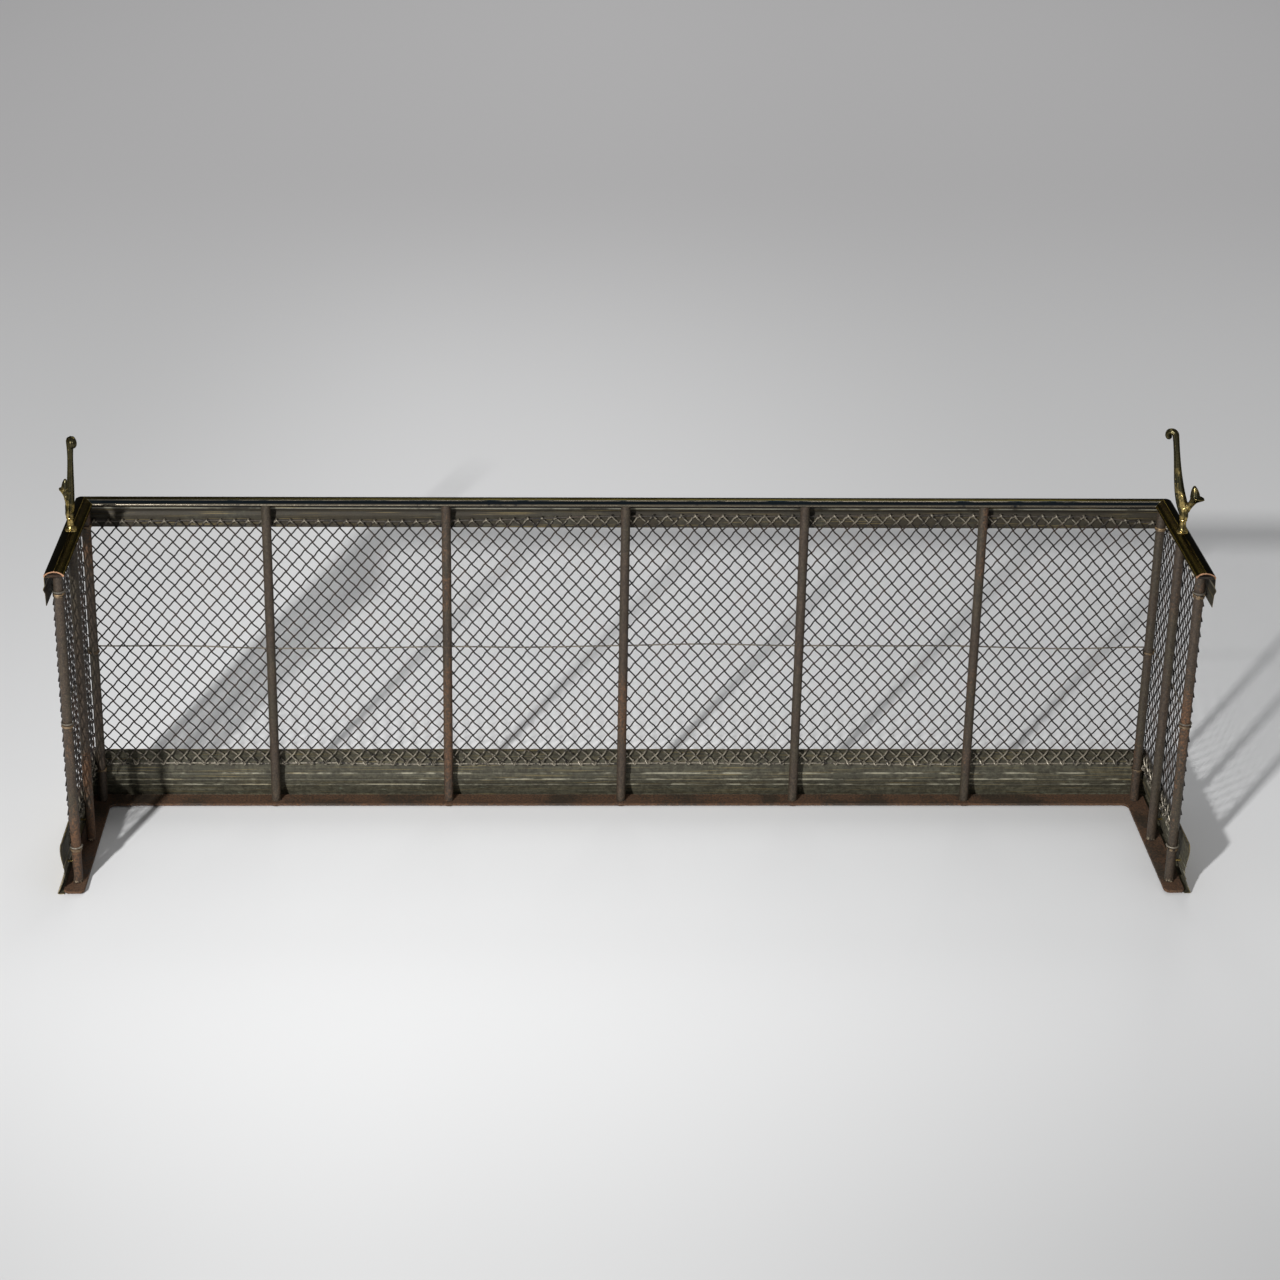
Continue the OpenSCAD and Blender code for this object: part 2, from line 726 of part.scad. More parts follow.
// Tall arm: a swan's neck from the fork up to the scroll, then the scroll's arc to its roll.
// Half widths are in the plane of the arms, and across it
arm_side = [3.1, 2.8];
arm_root = [5, 3.2];
scroll_flare = 1.4;    // how much wider to each side the arm is in its scroll
scroll_end = 176;
scroll_close = 0.3;    // share of its radius that the scroll has lost at its end
scroll_z = arm_h - arm_side[0] - scroll_r;
arm_a = [0.6, stem_h - 9];
arm_b = [-0.55*arm_lean, stem_h + 11];
arm_c = [-0.7*arm_lean, scroll_z - 32];
arm_d = [-arm_lean, scroll_z];
scroll_start = atan2(arm_c[0] - arm_d[0], arm_d[1] - arm_c[1]);
scroll_mid = arm_d - scroll_r*[cos(scroll_start), sin(scroll_start)];
arm_steps = 16;
scroll_steps = 9;

arm_stations = concat(
    [for (k = [0:arm_steps]) let (t = k/arm_steps, p = curve(arm_a, arm_b, arm_c, arm_d, t),
            v = curve_dir(arm_a, arm_b, arm_c, arm_d, t), thick = pow(cos(90*min(1, t/0.75)), 2),
            flare = [0, scroll_flare*pow(max(0, 4*t - 3), 2)],
            w = arm_side + thick*(arm_root - arm_side) + flare)
        [p[0], p[1], w[0], w[1], atan2(v[1], v[0]) - 90]],
    [for (k = [1:scroll_steps]) let (a = scroll_start + k*(scroll_end - scroll_start)/scroll_steps,
            p = scroll_mid + scroll_r*(1 - scroll_close*k/scroll_steps)*[cos(a), sin(a)])
        [p[0], p[1], arm_side[0] - k/scroll_steps, arm_side[1] + scroll_flare, a]]);
ball_at = scroll_mid + scroll_r*(1 - scroll_close)*[cos(scroll_end), sin(scroll_end)];

// Short arm: a branch that turns up into a pointed bud with a spread lip
lip_z = bud_h - 14;
fork_z = stem_h - 7;
bud_stations = [
    [1.8, fork_z, 4.0, 3.4, -25],
    [0.5*bud_reach, fork_z + (lip_z - fork_z)*0.3, 3.6, 3.1, -30],
    [bud_reach - 1.6, lip_z - 7.5, 3.6, 3.1, -30],
    [bud_reach + 0.4, lip_z - 4, 4.4, 3.9, -22],
    [bud_reach + 2.5, lip_z - 1.5, 6.6, 5.2, -14],
    [bud_reach + 4.0, lip_z, 8.1, 6.2, -8],
    [bud_reach + 4.0, lip_z + 0.9, 8.0, 6.2, -6],
    [bud_reach + 1.9, lip_z + 2.1, 5.6, 4.8, -3],
    [bud_reach + 1.4, lip_z + 5.3, 5.0, 3.9, 0],
    [bud_reach + 0.8, lip_z + 9, 3.7, 3.0, 0],
    [bud_reach + 0.2, lip_z + 12, 2.1, 1.8, 0],
    [bud_reach, bud_h - 0.5, 0.8, 0.7, 0]];

// Whole rest on its own axis, with its bud towards +X
module iron_rest() {
    color(bright_brass) {
        rest_stem();
        loft(arm_stations, 16);
        loft(bud_stations, 16);
        translate([ball_at[0], 0, ball_at[1]])
            scale([1, (arm_side[1] + scroll_flare)/ball_r, 1]) sphere(r=ball_r, $fn=fine);
    }
}

module left_iron_rest() {
    translate([-half_span, side_y, rest_z]) rotate([0, 0, left_rest_turn]) iron_rest();
}

module right_iron_rest() {
    translate([half_span, side_y, rest_z]) rotate([0, 0, right_rest_turn]) iron_rest();
}

base_plate();
front_post(1);  // front_post_1
front_post(2);  // front_post_2
front_post(3);  // front_post_3
front_post(4);  // front_post_4
front_post(5);  // front_post_5
left_corner_post();
right_corner_post();
left_side_post();
right_side_post();
left_end_post();
right_end_post();
front_top_bar();
left_top_bar();
right_top_bar();
front_rail();
left_rail();
right_rail();
front_frieze();
left_frieze();
right_frieze();
frieze_rivets();
front_netting();
left_netting();
right_netting();
top_border_wire();
middle_wire();
bottom_border_wire();
left_post_ties();
right_post_ties();
front_skirt();
left_skirt();
right_skirt();
skirt_screws();
left_rest_saddle();
right_rest_saddle();
left_iron_rest();
right_iron_rest();
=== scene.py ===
"""Fire fender: the finish and the fine forms of its iron, brass and woven wire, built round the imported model.

Lengths in this script are millimetres up to the moment a mesh is made. The open hearth side faces -Y.
"""

import math

import bpy
import numpy as np
from mathutils import Matrix, Vector


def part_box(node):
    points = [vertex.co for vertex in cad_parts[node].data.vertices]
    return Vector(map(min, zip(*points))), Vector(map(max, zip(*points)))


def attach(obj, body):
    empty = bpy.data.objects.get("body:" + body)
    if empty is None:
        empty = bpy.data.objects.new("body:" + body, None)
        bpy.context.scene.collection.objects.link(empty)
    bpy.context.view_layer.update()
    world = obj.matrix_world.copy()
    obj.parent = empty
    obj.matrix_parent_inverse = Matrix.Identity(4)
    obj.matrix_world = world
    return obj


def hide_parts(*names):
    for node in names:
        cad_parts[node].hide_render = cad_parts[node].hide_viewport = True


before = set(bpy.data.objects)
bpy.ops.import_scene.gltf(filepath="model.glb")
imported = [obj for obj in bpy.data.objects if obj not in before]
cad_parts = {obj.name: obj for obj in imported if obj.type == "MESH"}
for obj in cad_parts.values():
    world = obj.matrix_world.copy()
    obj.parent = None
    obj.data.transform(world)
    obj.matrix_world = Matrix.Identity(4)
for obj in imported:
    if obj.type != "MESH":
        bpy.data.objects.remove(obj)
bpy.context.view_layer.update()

bl_info = {
    "name": "Fire fender finish",
    "version": (1, 0, 0),
    "blender": (4, 5, 0),
    "location": "3D View > Sidebar > Fender",
    "description": "Dresses the packed fire fender in rusted iron, aged brass and woven wire",
    "category": "Add Mesh",
}

MM = 0.001
TURN = 2 * math.pi
UP = np.array([0, 0, 1.0])
SIDES = (("left", -1), ("right", 1))


# ---------- places and sizes taken from the frame ----------

def corners(node):
    """Lowest and highest corner of a node of the frame, in millimetres."""
    low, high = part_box(node)
    return np.array(low) / MM, np.array(high) / MM


def middle(node):
    """Middle of a node's box, in millimetres."""
    low, high = corners(node)
    return (low + high) / 2


HALF_SPAN, POST_Y = middle("right_corner_post")[:2]
SIDE_Y = middle("right_side_post")[1]
END_Y = middle("right_end_post")[1]
PLATE_LOW, PLATE_HIGH = corners("base_plate")
BAR_LOW, BAR_HIGH = corners("front_top_bar")
RAIL_LOW, RAIL_HIGH = corners("right_rail")
FRIEZE_LOW, FRIEZE_HIGH = corners("right_frieze")
SKIRT_LOW, SKIRT_HIGH = corners("right_skirt")
NET_LOW, NET_HIGH = corners("front_netting")
SIDE_NET_HIGH = corners("right_netting")[1]
MID_WIRE_Z = middle("middle_wire")[2]
REST_Z = corners("right_iron_rest")[0][2]
BASE_Z = PLATE_HIGH[2]
BAR_Z = BAR_LOW[2]
FRONT_POSTS = 5
POST_PITCH = 2 * HALF_SPAN / (FRONT_POSTS + 1)

# Sizes that the construction has and the boxes don't give
POST_R = 5.25
TENON_R = 3.0
FOOT_R = 9.0
HEAD_R = 4.0
SPIGOT_R = 2.0
HEAD_H = 1.8
SHEET_T = 0.8
RAIL_T = 1.2
RAIL_RISE = 4.5
RAIL_ROLL_R = 1.2
RAIL_BEAD_R = 0.7
SKIRT_WAIST_H = 21.5
SKIRT_REED_PITCH = 7.6
WIRE_R = 1.0
WIRE_OFF = 6.35
NET_OFF = 8.15

# The rail's arch: how far its edges reach in and out from the posts' line, and its circle
RAIL_IN, RAIL_OUT = HALF_SPAN - RAIL_LOW[0], RAIL_HIGH[0] - HALF_SPAN
RAIL_HALF, RAIL_MID = (RAIL_IN + RAIL_OUT) / 2, (RAIL_OUT - RAIL_IN) / 2
RAIL_ARCH_R = (RAIL_HALF ** 2 + RAIL_RISE ** 2) / (2 * RAIL_RISE)
RAIL_CROWN = RAIL_HIGH[2] - 2 * RAIL_BEAD_R / 3


# ---------- what a user may change ----------

def length(name, description, default):
    """A length in metres that the sidebar shows with its unit."""
    return bpy.props.FloatProperty(name=name, description=description, default=default, unit="LENGTH",
                                   precision=5)


def colour(name, description, default):
    """A colour of the finish."""
    return bpy.props.FloatVectorProperty(name=name, description=description, default=default,
                                         subtype="COLOR", size=3, min=0, max=1)


class FenderSizes(bpy.types.PropertyGroup):
    """Sizes of the fine forms that the scene adds to the construction."""
    mesh_width: length("Mesh width", "Width of one diamond of the netting", 0.0156)
    mesh_height: length("Mesh height", "Height of one diamond of the netting", 0.0182)
    strand: length("Strand", "Thickness of the netting's wire", 0.0017)
    weave: length("Weave", "How far a strand passes to either side at a crossing", 0.0007)
    jog: length("Jog", "Sideways kink of a strand at each crossing", 0.00045)
    rail_corner: length("Rail corner", "Radius of the rail's outer corners", 0.0035)
    dent: length("Dents", "How far the sheet brass wanders from straight", 0.00025)
    tie: length("Tie wire", "Thickness of the soft wire of the post ties", 0.0012)
    casting: length("Casting", "Fineness to which the cast rests are fused", 0.0004)


class FenderColours(bpy.types.PropertyGroup):
    """Colours of the finish."""
    iron: colour("Iron", "Dull brown iron of the posts", (0.066, 0.047, 0.032))
    rust: colour("Rust", "Rust that covers the base plate", (0.128, 0.066, 0.034))
    scale: colour("Dark scale", "Darkest scale in the pits of the iron", (0.022, 0.017, 0.014))
    patina: colour("Patina", "Grey-green patina of the sheet brass", (0.090, 0.084, 0.057))
    tarnish: colour("Tarnish", "Darkest tarnish of the brass", (0.026, 0.021, 0.014))
    verdigris: colour("Verdigris", "Pale green marks on the brass", (0.20, 0.235, 0.17))
    brass: colour("Brass", "Brass where it is worn bright", (0.62, 0.46, 0.17))
    rail: colour("Rail", "Dark olive brass of the rail", (0.060, 0.052, 0.025))
    # Front rail: dark tarnish with a painted bluish reflection of the sky
    front_rail: colour("Front rail", "Slate tarnish inside the front rail", (0.030, 0.042, 0.053))
    wire: colour("Wire", "Weathered wire", (0.016, 0.013, 0.011))
    # Bare wire colour, also used for painted highlights on the netting and ties
    bare: colour("Bare wire", "Wire rubbed bare at its ends", (0.36, 0.32, 0.25))
    floor_near: colour("Floor", "Floor under the fender", (0.985, 0.985, 0.985))
    floor_far: colour("Far floor", "Floor far behind the fender", (0.690, 0.680, 0.682))


def sizes():
    """The sizes in use, each in millimetres."""
    group = bpy.context.scene.fender_sizes
    return {name: getattr(group, name) / MM for name in FenderSizes.__annotations__}


def colours():
    """The colours in use."""
    group = bpy.context.scene.fender_colours
    return {name: tuple(getattr(group, name)) for name in FenderColours.__annotations__}


# ---------- surfaces ----------

def unit(vectors):
    """Vectors scaled to length one."""
    return vectors / np.linalg.norm(vectors, axis=-1, keepdims=True)


def signed_volume(points, triangles):
    """Volume inside a closed skin, negative if it is inside out: the sum of a . (b x c) / 6 over its
    triangles."""
    a, b, c = (points[triangles[:, k]] for k in range(3))
    return (a * np.cross(b, c)).sum() / 6


class Shell:
    """The points and faces of one piece, gathered skin by skin, each skin closed and turned outwards."""

    def __init__(self):
        self.points, self.faces, self.notes, self.count = [], [], [], 0

    def skin(self, rings, loop=False, notes=None):
        """Closed rings of points, rows by columns, joined in order. The two ends get a flat cap each, or the
        last ring joins the first. notes are the values kept at each point for the finish."""
        rows, columns = rings.shape[:2]
        points = rings.reshape(-1, 3)
        row, column = np.meshgrid(np.arange(rows if loop else rows - 1), np.arange(columns), indexing="ij")
        following, beside = (row + 1) % rows, (column + 1) % columns
        quads = np.stack([row * columns + column, row * columns + beside,
                          following * columns + beside, following * columns + column], -1).reshape(-1, 4)
        first, last = np.arange(columns)[::-1], (rows - 1) * columns + np.arange(columns)
        caps = [] if loop else [first, last]
        fans = [np.stack([np.full(columns - 2, cap[0]), cap[1:-1], cap[2:]], -1) for cap in caps]
        triangles = np.concatenate([quads[:, :3], quads[:, [0, 2, 3]], *fans])
        turn = -1 if signed_volume(points - points.mean(0), triangles) < 0 else 1
        self.faces += [list(face) for face in quads[:, ::turn] + self.count]
        self.faces += [list(cap[::turn] + self.count) for cap in caps]
        self.points.append(points)
        self.notes.append(np.zeros_like(points) if notes is None else notes.reshape(-1, 3))
        self.count += len(points)
        return self

    def mesh(self, name):
        """The mesh in metres, with the notes as the attribute "lie" where there are any."""
        mesh = bpy.data.meshes.new(name)
        points = (np.concatenate(self.points) * MM).tolist()
        mesh.from_pydata(points, [], [list(map(int, face)) for face in self.faces])
        notes = np.concatenate(self.notes)
        if notes.any():
            lie = mesh.attributes.new("lie", "FLOAT_VECTOR", "POINT")
            lie.data.foreach_set("vector", notes.astype(np.float32).ravel())
        return mesh


def columns(*numbers):
    """Points from their coordinates, each a number or an array of any matching shape."""
    return np.stack(np.broadcast_arrays(*numbers), -1)


SHARP_ANGLE = 35


def finished(name, shell, finish, nodes, body="fender"):
    """A piece from a shell: shaded smooth but for its sharp edges, riding on a body in place of its nodes."""
    mesh = shell.mesh(name)
    piece = bpy.data.objects.new(name, mesh)
    bpy.context.scene.collection.objects.link(piece)
    mesh.materials.append(finish)
    mesh.shade_smooth()
    mesh.set_sharp_from_angle(angle=math.radians(SHARP_ANGLE))
    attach(piece, body)
    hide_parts(*nodes)
    return piece


def arc(centre, radius, start, end, count):
    """Points round a centre in a plane: centre + radius*(cos a, sin a), a from start to end in degrees."""
    angle = np.radians(np.linspace(start, end, count))
    return np.array(centre) + radius * columns(np.cos(angle), np.sin(angle))


def turned(profile, axis, sides, wander=None):
    """Surface of revolution: profile points (r, z) turned about an upright axis at (x, y). wander(angle, z)
    is added to the radius."""
    angle = np.arange(sides) * TURN / sides
    radius = np.repeat(profile[:, :1], sides, 1)
    height = np.repeat(profile[:, 1:], sides, 1)
    if wander is not None:
        radius = radius + wander(angle[None, :], height)
    return columns(axis[0] + radius * np.cos(angle), axis[1] + radius * np.sin(angle), height)


def tube(path, radius, across, sides):
    """Round rod along a path: ring k = path + r*(cos a * u + sin a * t x u), where t is the path's
    direction and u the part of across that is square to it."""
    along = unit(np.gradient(path, axis=0))
    across = np.broadcast_to(across, path.shape)
    beside = unit(across - along * np.einsum("ij,ij->i", across, along)[:, None])
    other = np.cross(along, beside)
    angle = np.arange(sides) * TURN / sides
    radius = np.broadcast_to(radius, len(path))[:, None, None]
    return path[:, None] + radius * (np.cos(angle)[:, None] * beside[:, None]
                                     + np.sin(angle)[:, None] * other[:, None])


def sheet_outline(line, thickness):
    """Closed outline of a bent sheet: its middle line moved half a thickness to each side along the mean
    normal, with one more point on the middle of each rounded edge."""
    along = unit(np.gradient(line, axis=0))
    normal = columns(-along[:, 1], along[:, 0]) * thickness / 2
    start, end = line[0] - along[0] * thickness / 3, line[-1] + along[-1] * thickness / 3
    return np.concatenate([[start], line + normal, [end], (line - normal)[::-1]])


# ---------- runs of rail, frieze and skirt ----------

def wander(along, height, depth):
    """Slow unevenness of hand-worked sheet: a sum of three sines along the run and up the sheet."""
    return depth * (0.5 * np.sin(along / 71 + height / 19) + 0.3 * np.sin(along / 29 - height / 11 + 1.3)
                    + 0.2 * np.sin(along / 13 + height / 7 + 0.4))


def run_notes(along, outline):
    """Notes of a run: distance along it and reach from the post line, both in metres, and share round the
    outline."""
    share = np.linspace(0, 1, len(outline), endpoint=False)
    return columns(along * MM, outline[:, 0] * MM, share)


RUN_STEP = 11
ROUND_ROWS = 6


def corner_turn(outline, corner):
    """A section's heights, and for each of its points the radius and the middle of its turn at a corner."""
    reach, height = outline.T
    radius = np.zeros_like(reach) if corner is None else corner(reach)
    return height, radius, HALF_SPAN + reach - radius, POST_Y + reach - radius


def front_run(outline, dent, corner=None):
    """A section (reach, height) carried along the front: x from -X to X with X = half span + reach - r, and
    then round each corner by 45 degrees on the radius r of that reach, to the mitre."""
    height, radius, span, line_y = corner_turn(outline, corner)
    share = np.linspace(-1, 1, int(2 * HALF_SPAN / RUN_STEP))[:, None]
    calm = np.clip(6 * (1 - abs(share)), 0, 1)
    x, y = share * span, line_y + radius + calm * wander(share * HALF_SPAN, height, dent)
    if corner is not None:
        bend = np.radians(np.linspace(90, 45, ROUND_ROWS))[1:, None]
        x_end, y_end = span + radius * np.cos(bend), line_y + radius * np.sin(bend)
        x, y = np.concatenate([-x_end[::-1], x, x_end]), np.concatenate([y_end[::-1], y, y_end])
    return columns(x, y, height), run_notes(x, outline)


def side_run(outline, dent, end_y, side, corner=None):
    """The same section carried along a side, from y = end_y to the mitre. side is 1 right, -1 left."""
    height, radius, line_x, far_y = corner_turn(outline, corner)
    share = np.linspace(0, 1, int((POST_Y - end_y) / RUN_STEP))[:, None]
    y = end_y + share * (far_y - end_y)
    x = line_x + radius + np.clip(6 * (1 - share), 0, 1) * wander(y + 500 * side, height, dent)
    if corner is not None:
        bend = np.radians(np.linspace(0, 45, ROUND_ROWS))[1:, None]
        x = np.concatenate([x, line_x + radius * np.cos(bend)])
        y = np.concatenate([y, far_y + radius * np.sin(bend)])
    return columns(side * x, y, height), run_notes(y, outline)


def three_runs(kind, outline, dent, end_y, finishes, corner=None):
    """Front, left and right pieces of one section, each in place of its node. finishes: front, sides."""
    lengths = {"front": front_run(outline, dent, corner)}
    for word, side in SIDES:
        lengths[word] = side_run(outline, dent, end_y, side, corner)
    for word, (rings, notes) in lengths.items():
        finished(f"{word}_{kind}_brass", Shell().skin(rings, notes=notes), finishes[word != "front"],
                 [f"{word}_{kind}"])


def rail_outline():
    """Section of the rail: an arch of one radius with a fine bead on its crown, a lip that turns down over
    the iron bar outside, and a roll along the inner edge."""
    axis, edge, ease = RAIL_CROWN - RAIL_ARCH_R, RAIL_CROWN - RAIL_RISE, 1.0
    shoulder = math.degrees(math.asin(RAIL_HALF / RAIL_ARCH_R))
    bead_turn = math.degrees(RAIL_BEAD_R / RAIL_ARCH_R)
    lip = [[RAIL_OUT - RAIL_T + 0.3, BAR_Z], [RAIL_OUT - 0.3, BAR_Z], [RAIL_OUT, BAR_Z + 0.3]]
    bend = arc((RAIL_OUT - ease, edge - 0.4), ease, 0, 45, 5)
    outer = arc((RAIL_MID, axis), RAIL_ARCH_R, 90 - shoulder + 3, 90 - bead_turn, 14)
    bead = arc((RAIL_MID, RAIL_CROWN - RAIL_BEAD_R / 3), RAIL_BEAD_R, 20, 160, 9)
    inner = arc((RAIL_MID, axis), RAIL_ARCH_R, 90 + bead_turn, 90 + shoulder - 8, 14)
    roll = arc((-RAIL_IN + RAIL_ROLL_R, edge), RAIL_ROLL_R, 115, 340, 14)
    under = arc((RAIL_MID, axis), RAIL_ARCH_R - RAIL_T, 90 + shoulder - 15, 90 - shoulder + 5, 20)
    inside = [[RAIL_OUT - RAIL_T, edge - 0.6], [RAIL_OUT - RAIL_T, BAR_Z + 0.3]]
    return np.concatenate([lip, bend, outer, bead, inner, roll, under, inside])


def rail_corner(reach):
    """Radius of the rail's corner at a reach: nothing at the inner edge, the full radius at the outer one."""
    share = np.clip((reach + RAIL_IN) / (RAIL_IN + RAIL_OUT), 0, 1)
    return 0.3 + sizes()["rail_corner"] * share ** 2


def frieze_outline():
    """Section of the frieze: a flange under the iron bar, a bend down, a rounded bead as half a cosine wave
    each way, and a taper to the lower edge."""
    bead_out, bead_h, bead_drop, bend = 1.7, 10, 14.5, 1.0
    reach = FRIEZE_HIGH[0] - HALF_SPAN - SHEET_T / 2 - bead_out
    flange = BAR_Z - SHEET_T / 2
    turn = arc((reach - bend, flange - bend), bend, 90, 0, 6)
    wave = np.linspace(0, 1, 19)
    bead = columns(reach + bead_out * (1 - np.cos(TURN * wave)) / 2,
                   BAR_Z - bead_drop + bead_h * (0.5 - wave))
    foot = np.array([NET_OFF + 2.0, FRIEZE_LOW[2] + SHEET_T / 3])
    taper = bead[-1] + (foot - bead[-1]) * np.linspace(0, 1, 7)[1:, None]
    return sheet_outline(np.concatenate([[[POST_R + 0.6, flange]], turn, bead, taper]), SHEET_T)


def skirt_line():
    """Middle of the skirt's section from its lip to its foot: a quarter round over the swell, an ogee down to
    the waist as half a cosine wave, a flare on a power of 1.35, a quarter round into the hem that is turned
    in, and three reeds as small cosine bumps."""
    top, foot, bend, hem = SKIRT_HIGH[2], SKIRT_LOW[2] + SHEET_T / 2, 0.9, 6.5
    swell_z, waist_z = top - 12, BASE_Z + SKIRT_WAIST_H
    lip, swell, waist = NET_OFF + 2.0, 13.5, NET_OFF + 2.1
    toe = SKIRT_HIGH[0] - HALF_SPAN - SHEET_T / 2
    dome = arc((0, 0), 1, 90, 8, 9)
    shoulder = columns(lip + (swell - lip) * dome[:, 0], swell_z + (top - swell_z) * dome[:, 1])
    height = np.linspace(swell_z, foot + bend, 108)
    rise = np.clip((height - waist_z) / (swell_z - waist_z), 0, 1)
    fall = np.clip((waist_z - height) / (waist_z - foot - bend), 0, 1)
    reach = waist + (swell - waist) * (1 - np.cos(math.pi * rise)) / 2 + (toe - waist) * fall ** 1.35
    for reed in (-1, 0, 1):
        near = np.clip((height - waist_z - reed * SKIRT_REED_PITCH) / 1.6, -1, 1)
        reach += 0.8 * (1 + np.cos(math.pi * near)) / 2
    turn = arc((toe - bend, foot + bend), bend, -15, -90, 6)
    inwards = np.linspace(toe - bend - 1, toe - hem, 4)
    return np.concatenate([shoulder, columns(reach, height), turn, columns(inwards, foot)])


# ---------- wires, ties and netting ----------

def sag(x, level):
    """How far a wire of the front has wandered up or down at x: level 0 bottom, 1 middle, 2 top. Sums of
    slow sines, still at the corner posts."""
    calm = np.clip((HALF_SPAN - abs(x)) / 90, 0, 1)
    calm = calm * calm * (3 - 2 * calm)
    if level == 0:
        return calm * (0.6 * np.sin(x / 83 + 0.5) + 0.4 * np.sin(x / 31))
    if level == 1:
        return calm * (2.2 * np.sin(x / 150 + 0.6) + 0.9 * np.sin(x / 47))
    rise = 1 / (1 + np.exp(-(x + 90) / 60))
    return calm * (7.5 * rise + 0.6 * np.sin(x / 61 + 2))


def wire_path(height, level):
    """Middle of a wire that runs along the front, turns round both corner posts, follows the sides and hooks
    round the end posts by a little over half a turn."""
    turn = arc((HALF_SPAN, POST_Y), WIRE_OFF, 90, 0, 13)
    down = np.linspace(POST_Y, END_Y, 22)[1:-1]
    side = columns(HALF_SPAN + WIRE_OFF, down)
    hook = arc((HALF_SPAN, END_Y), WIRE_OFF, 0, -200, 21)
    half = np.concatenate([turn, side, hook])
    front = columns(np.linspace(-HALF_SPAN, HALF_SPAN, 161), POST_Y + WIRE_OFF)[1:-1]
    plan = np.concatenate([half[::-1] * [-1, 1], front, half])
    along = np.cumsum(np.linalg.norm(np.diff(plan, axis=0, prepend=plan[:1]), axis=1))
    lift = np.where(plan[:, 1] > POST_Y, sag(plan[:, 0], level), 0) + 0.25 * np.sin(along / 23)
    return np.column_stack([plan, height + lift])


def tie_path(x, y, height, turns, thickness):
    """Soft wire wound round a post below a wire: a helix whose turns lie against each other."""
    count = int(turns * 22)
    angle = np.linspace(0, turns * TURN, count) - 0.6
    radius = POST_R + 0.1 + thickness / 2
    drop = np.linspace(0, turns * thickness * 1.02, count)
    return columns(x + radius * np.cos(angle), y + radius * np.sin(angle), height - drop)


class Netting:
    """One panel of woven diamond netting. Its lattice is counted in half diamonds, across and up."""

    def __init__(self, start, width, place, edge=None):
        """place(u, v, z) turns a distance along the panel, a distance outwards and a height into points."""
        size = sizes()
        self.low, self.high = NET_LOW[2], NET_HIGH[2]
        self.columns = 2 * round(width / size["mesh_width"])
        self.rows = 2 * round((self.high - self.low) / size["mesh_height"])
        self.start, self.half = start, width / self.columns
        self.place, self.edge = place, edge
        self.radius, self.weave, self.jog = size["strand"] / 2, size["weave"], size["jog"]

    def span(self, column, lean):
        """First and last lattice row that a strand reaches inside the panel."""
        first = max(0, -column if lean > 0 else column - self.columns)
        return first, min(self.rows, self.columns - column if lean > 0 else column)

    def strand(self, column, lean):
        """One strand from the lower border up, leaning right (1) or left (-1): at lattice row j it is
        column + lean*j half diamonds along, passes cos(pi j) to either side of the middle plane, and has a
        small sideways kink of sin(2 pi j). At a border it curls round the border wire."""
        first, last = self.span(column, lean)
        row = np.linspace(first, last, 4 * (last - first) + 1)
        along = self.start + (column + lean * row) * self.half
        out = NET_OFF - 0.25 + lean * self.weave * np.cos(math.pi * row)
        share = row / self.rows
        height = self.low + share * (self.high - self.low)
        along = along + self.jog * np.sin(TURN * row)
        if self.edge is not None:
            height = height + (1 - share) * self.edge(along, 0) + share * self.edge(along, 2)
            along = along + 1.1 * np.sin(math.pi * share) * np.sin(along / 67 + height / 41)
            height = height + 0.9 * np.sin(math.pi * share) * np.sin(along / 53 - height / 37)
        path = columns(along, out, height)
        if last == self.rows:
            path = np.concatenate([path, self.curl(path[-1], lean, 1)])
        if first == 0:
            path = np.concatenate([self.curl(path[0], -lean, -1)[::-1], path])
        return path

    def curl(self, end, lean, up):
        """The strand's end round the border wire: an arc in the strand's own upright plane, on a radius of
        wire and strand together, and a short tip that stands off."""
        radius = WIRE_R + self.radius + 0.05
        chance = math.sin(end[0] * 12.9) + math.sin(end[0] * 3.7 + lean)
        angle = np.radians(np.linspace(70, -150 - 25 * chance, 9))
        stretch = math.hypot(self.half, (self.high - self.low) / self.rows)
        slope = np.array([lean * self.half, (self.high - self.low) / self.rows]) / stretch
        forward = radius * np.cos(angle)
        out = WIRE_OFF + radius * np.sin(angle)
        beside = -0.85 * lean
        arc_points = columns(end[0] + beside + slope[0] * forward, out, end[2] + up * slope[1] * forward)
        direction = unit(arc_points[-1] - arc_points[-2] + np.array([lean * (0.2 + 0.3 * chance), -0.25, 0]))
        tip = arc_points[-1] + direction * (3.0 + chance)
        return np.concatenate([arc_points, [tip]])

    def family(self, lean):
        """All the strands that lean one way, as one shell."""
        shell = Shell()
        starts = range(-self.rows, self.columns, 2) if lean > 0 else range(2, self.columns + self.rows + 1, 2)
        across = unit(np.array([(self.high - self.low) / self.rows, 0, -lean * self.half]))
        for column in starts:
            first, last = self.span(column, lean)
            if last > first:
                shell.skin(self.place(tube(self.strand(column, lean), self.radius, across, 6)))
        return shell


# ---------- cast rests ----------

STEM_H = 31
ARM_H = 116
ARM_LEAN = 17.2
SCROLL_R = 5.2
SCROLL_FLARE = 1.4
ROLL_R = 3.1
BUD_H = 55
BUD_REACH = 8.8
BORE_R = 2.05
BORE_H = 18
VOLUTE_AT = (-4.6, STEM_H + 7)
VOLUTE_R = 3.4


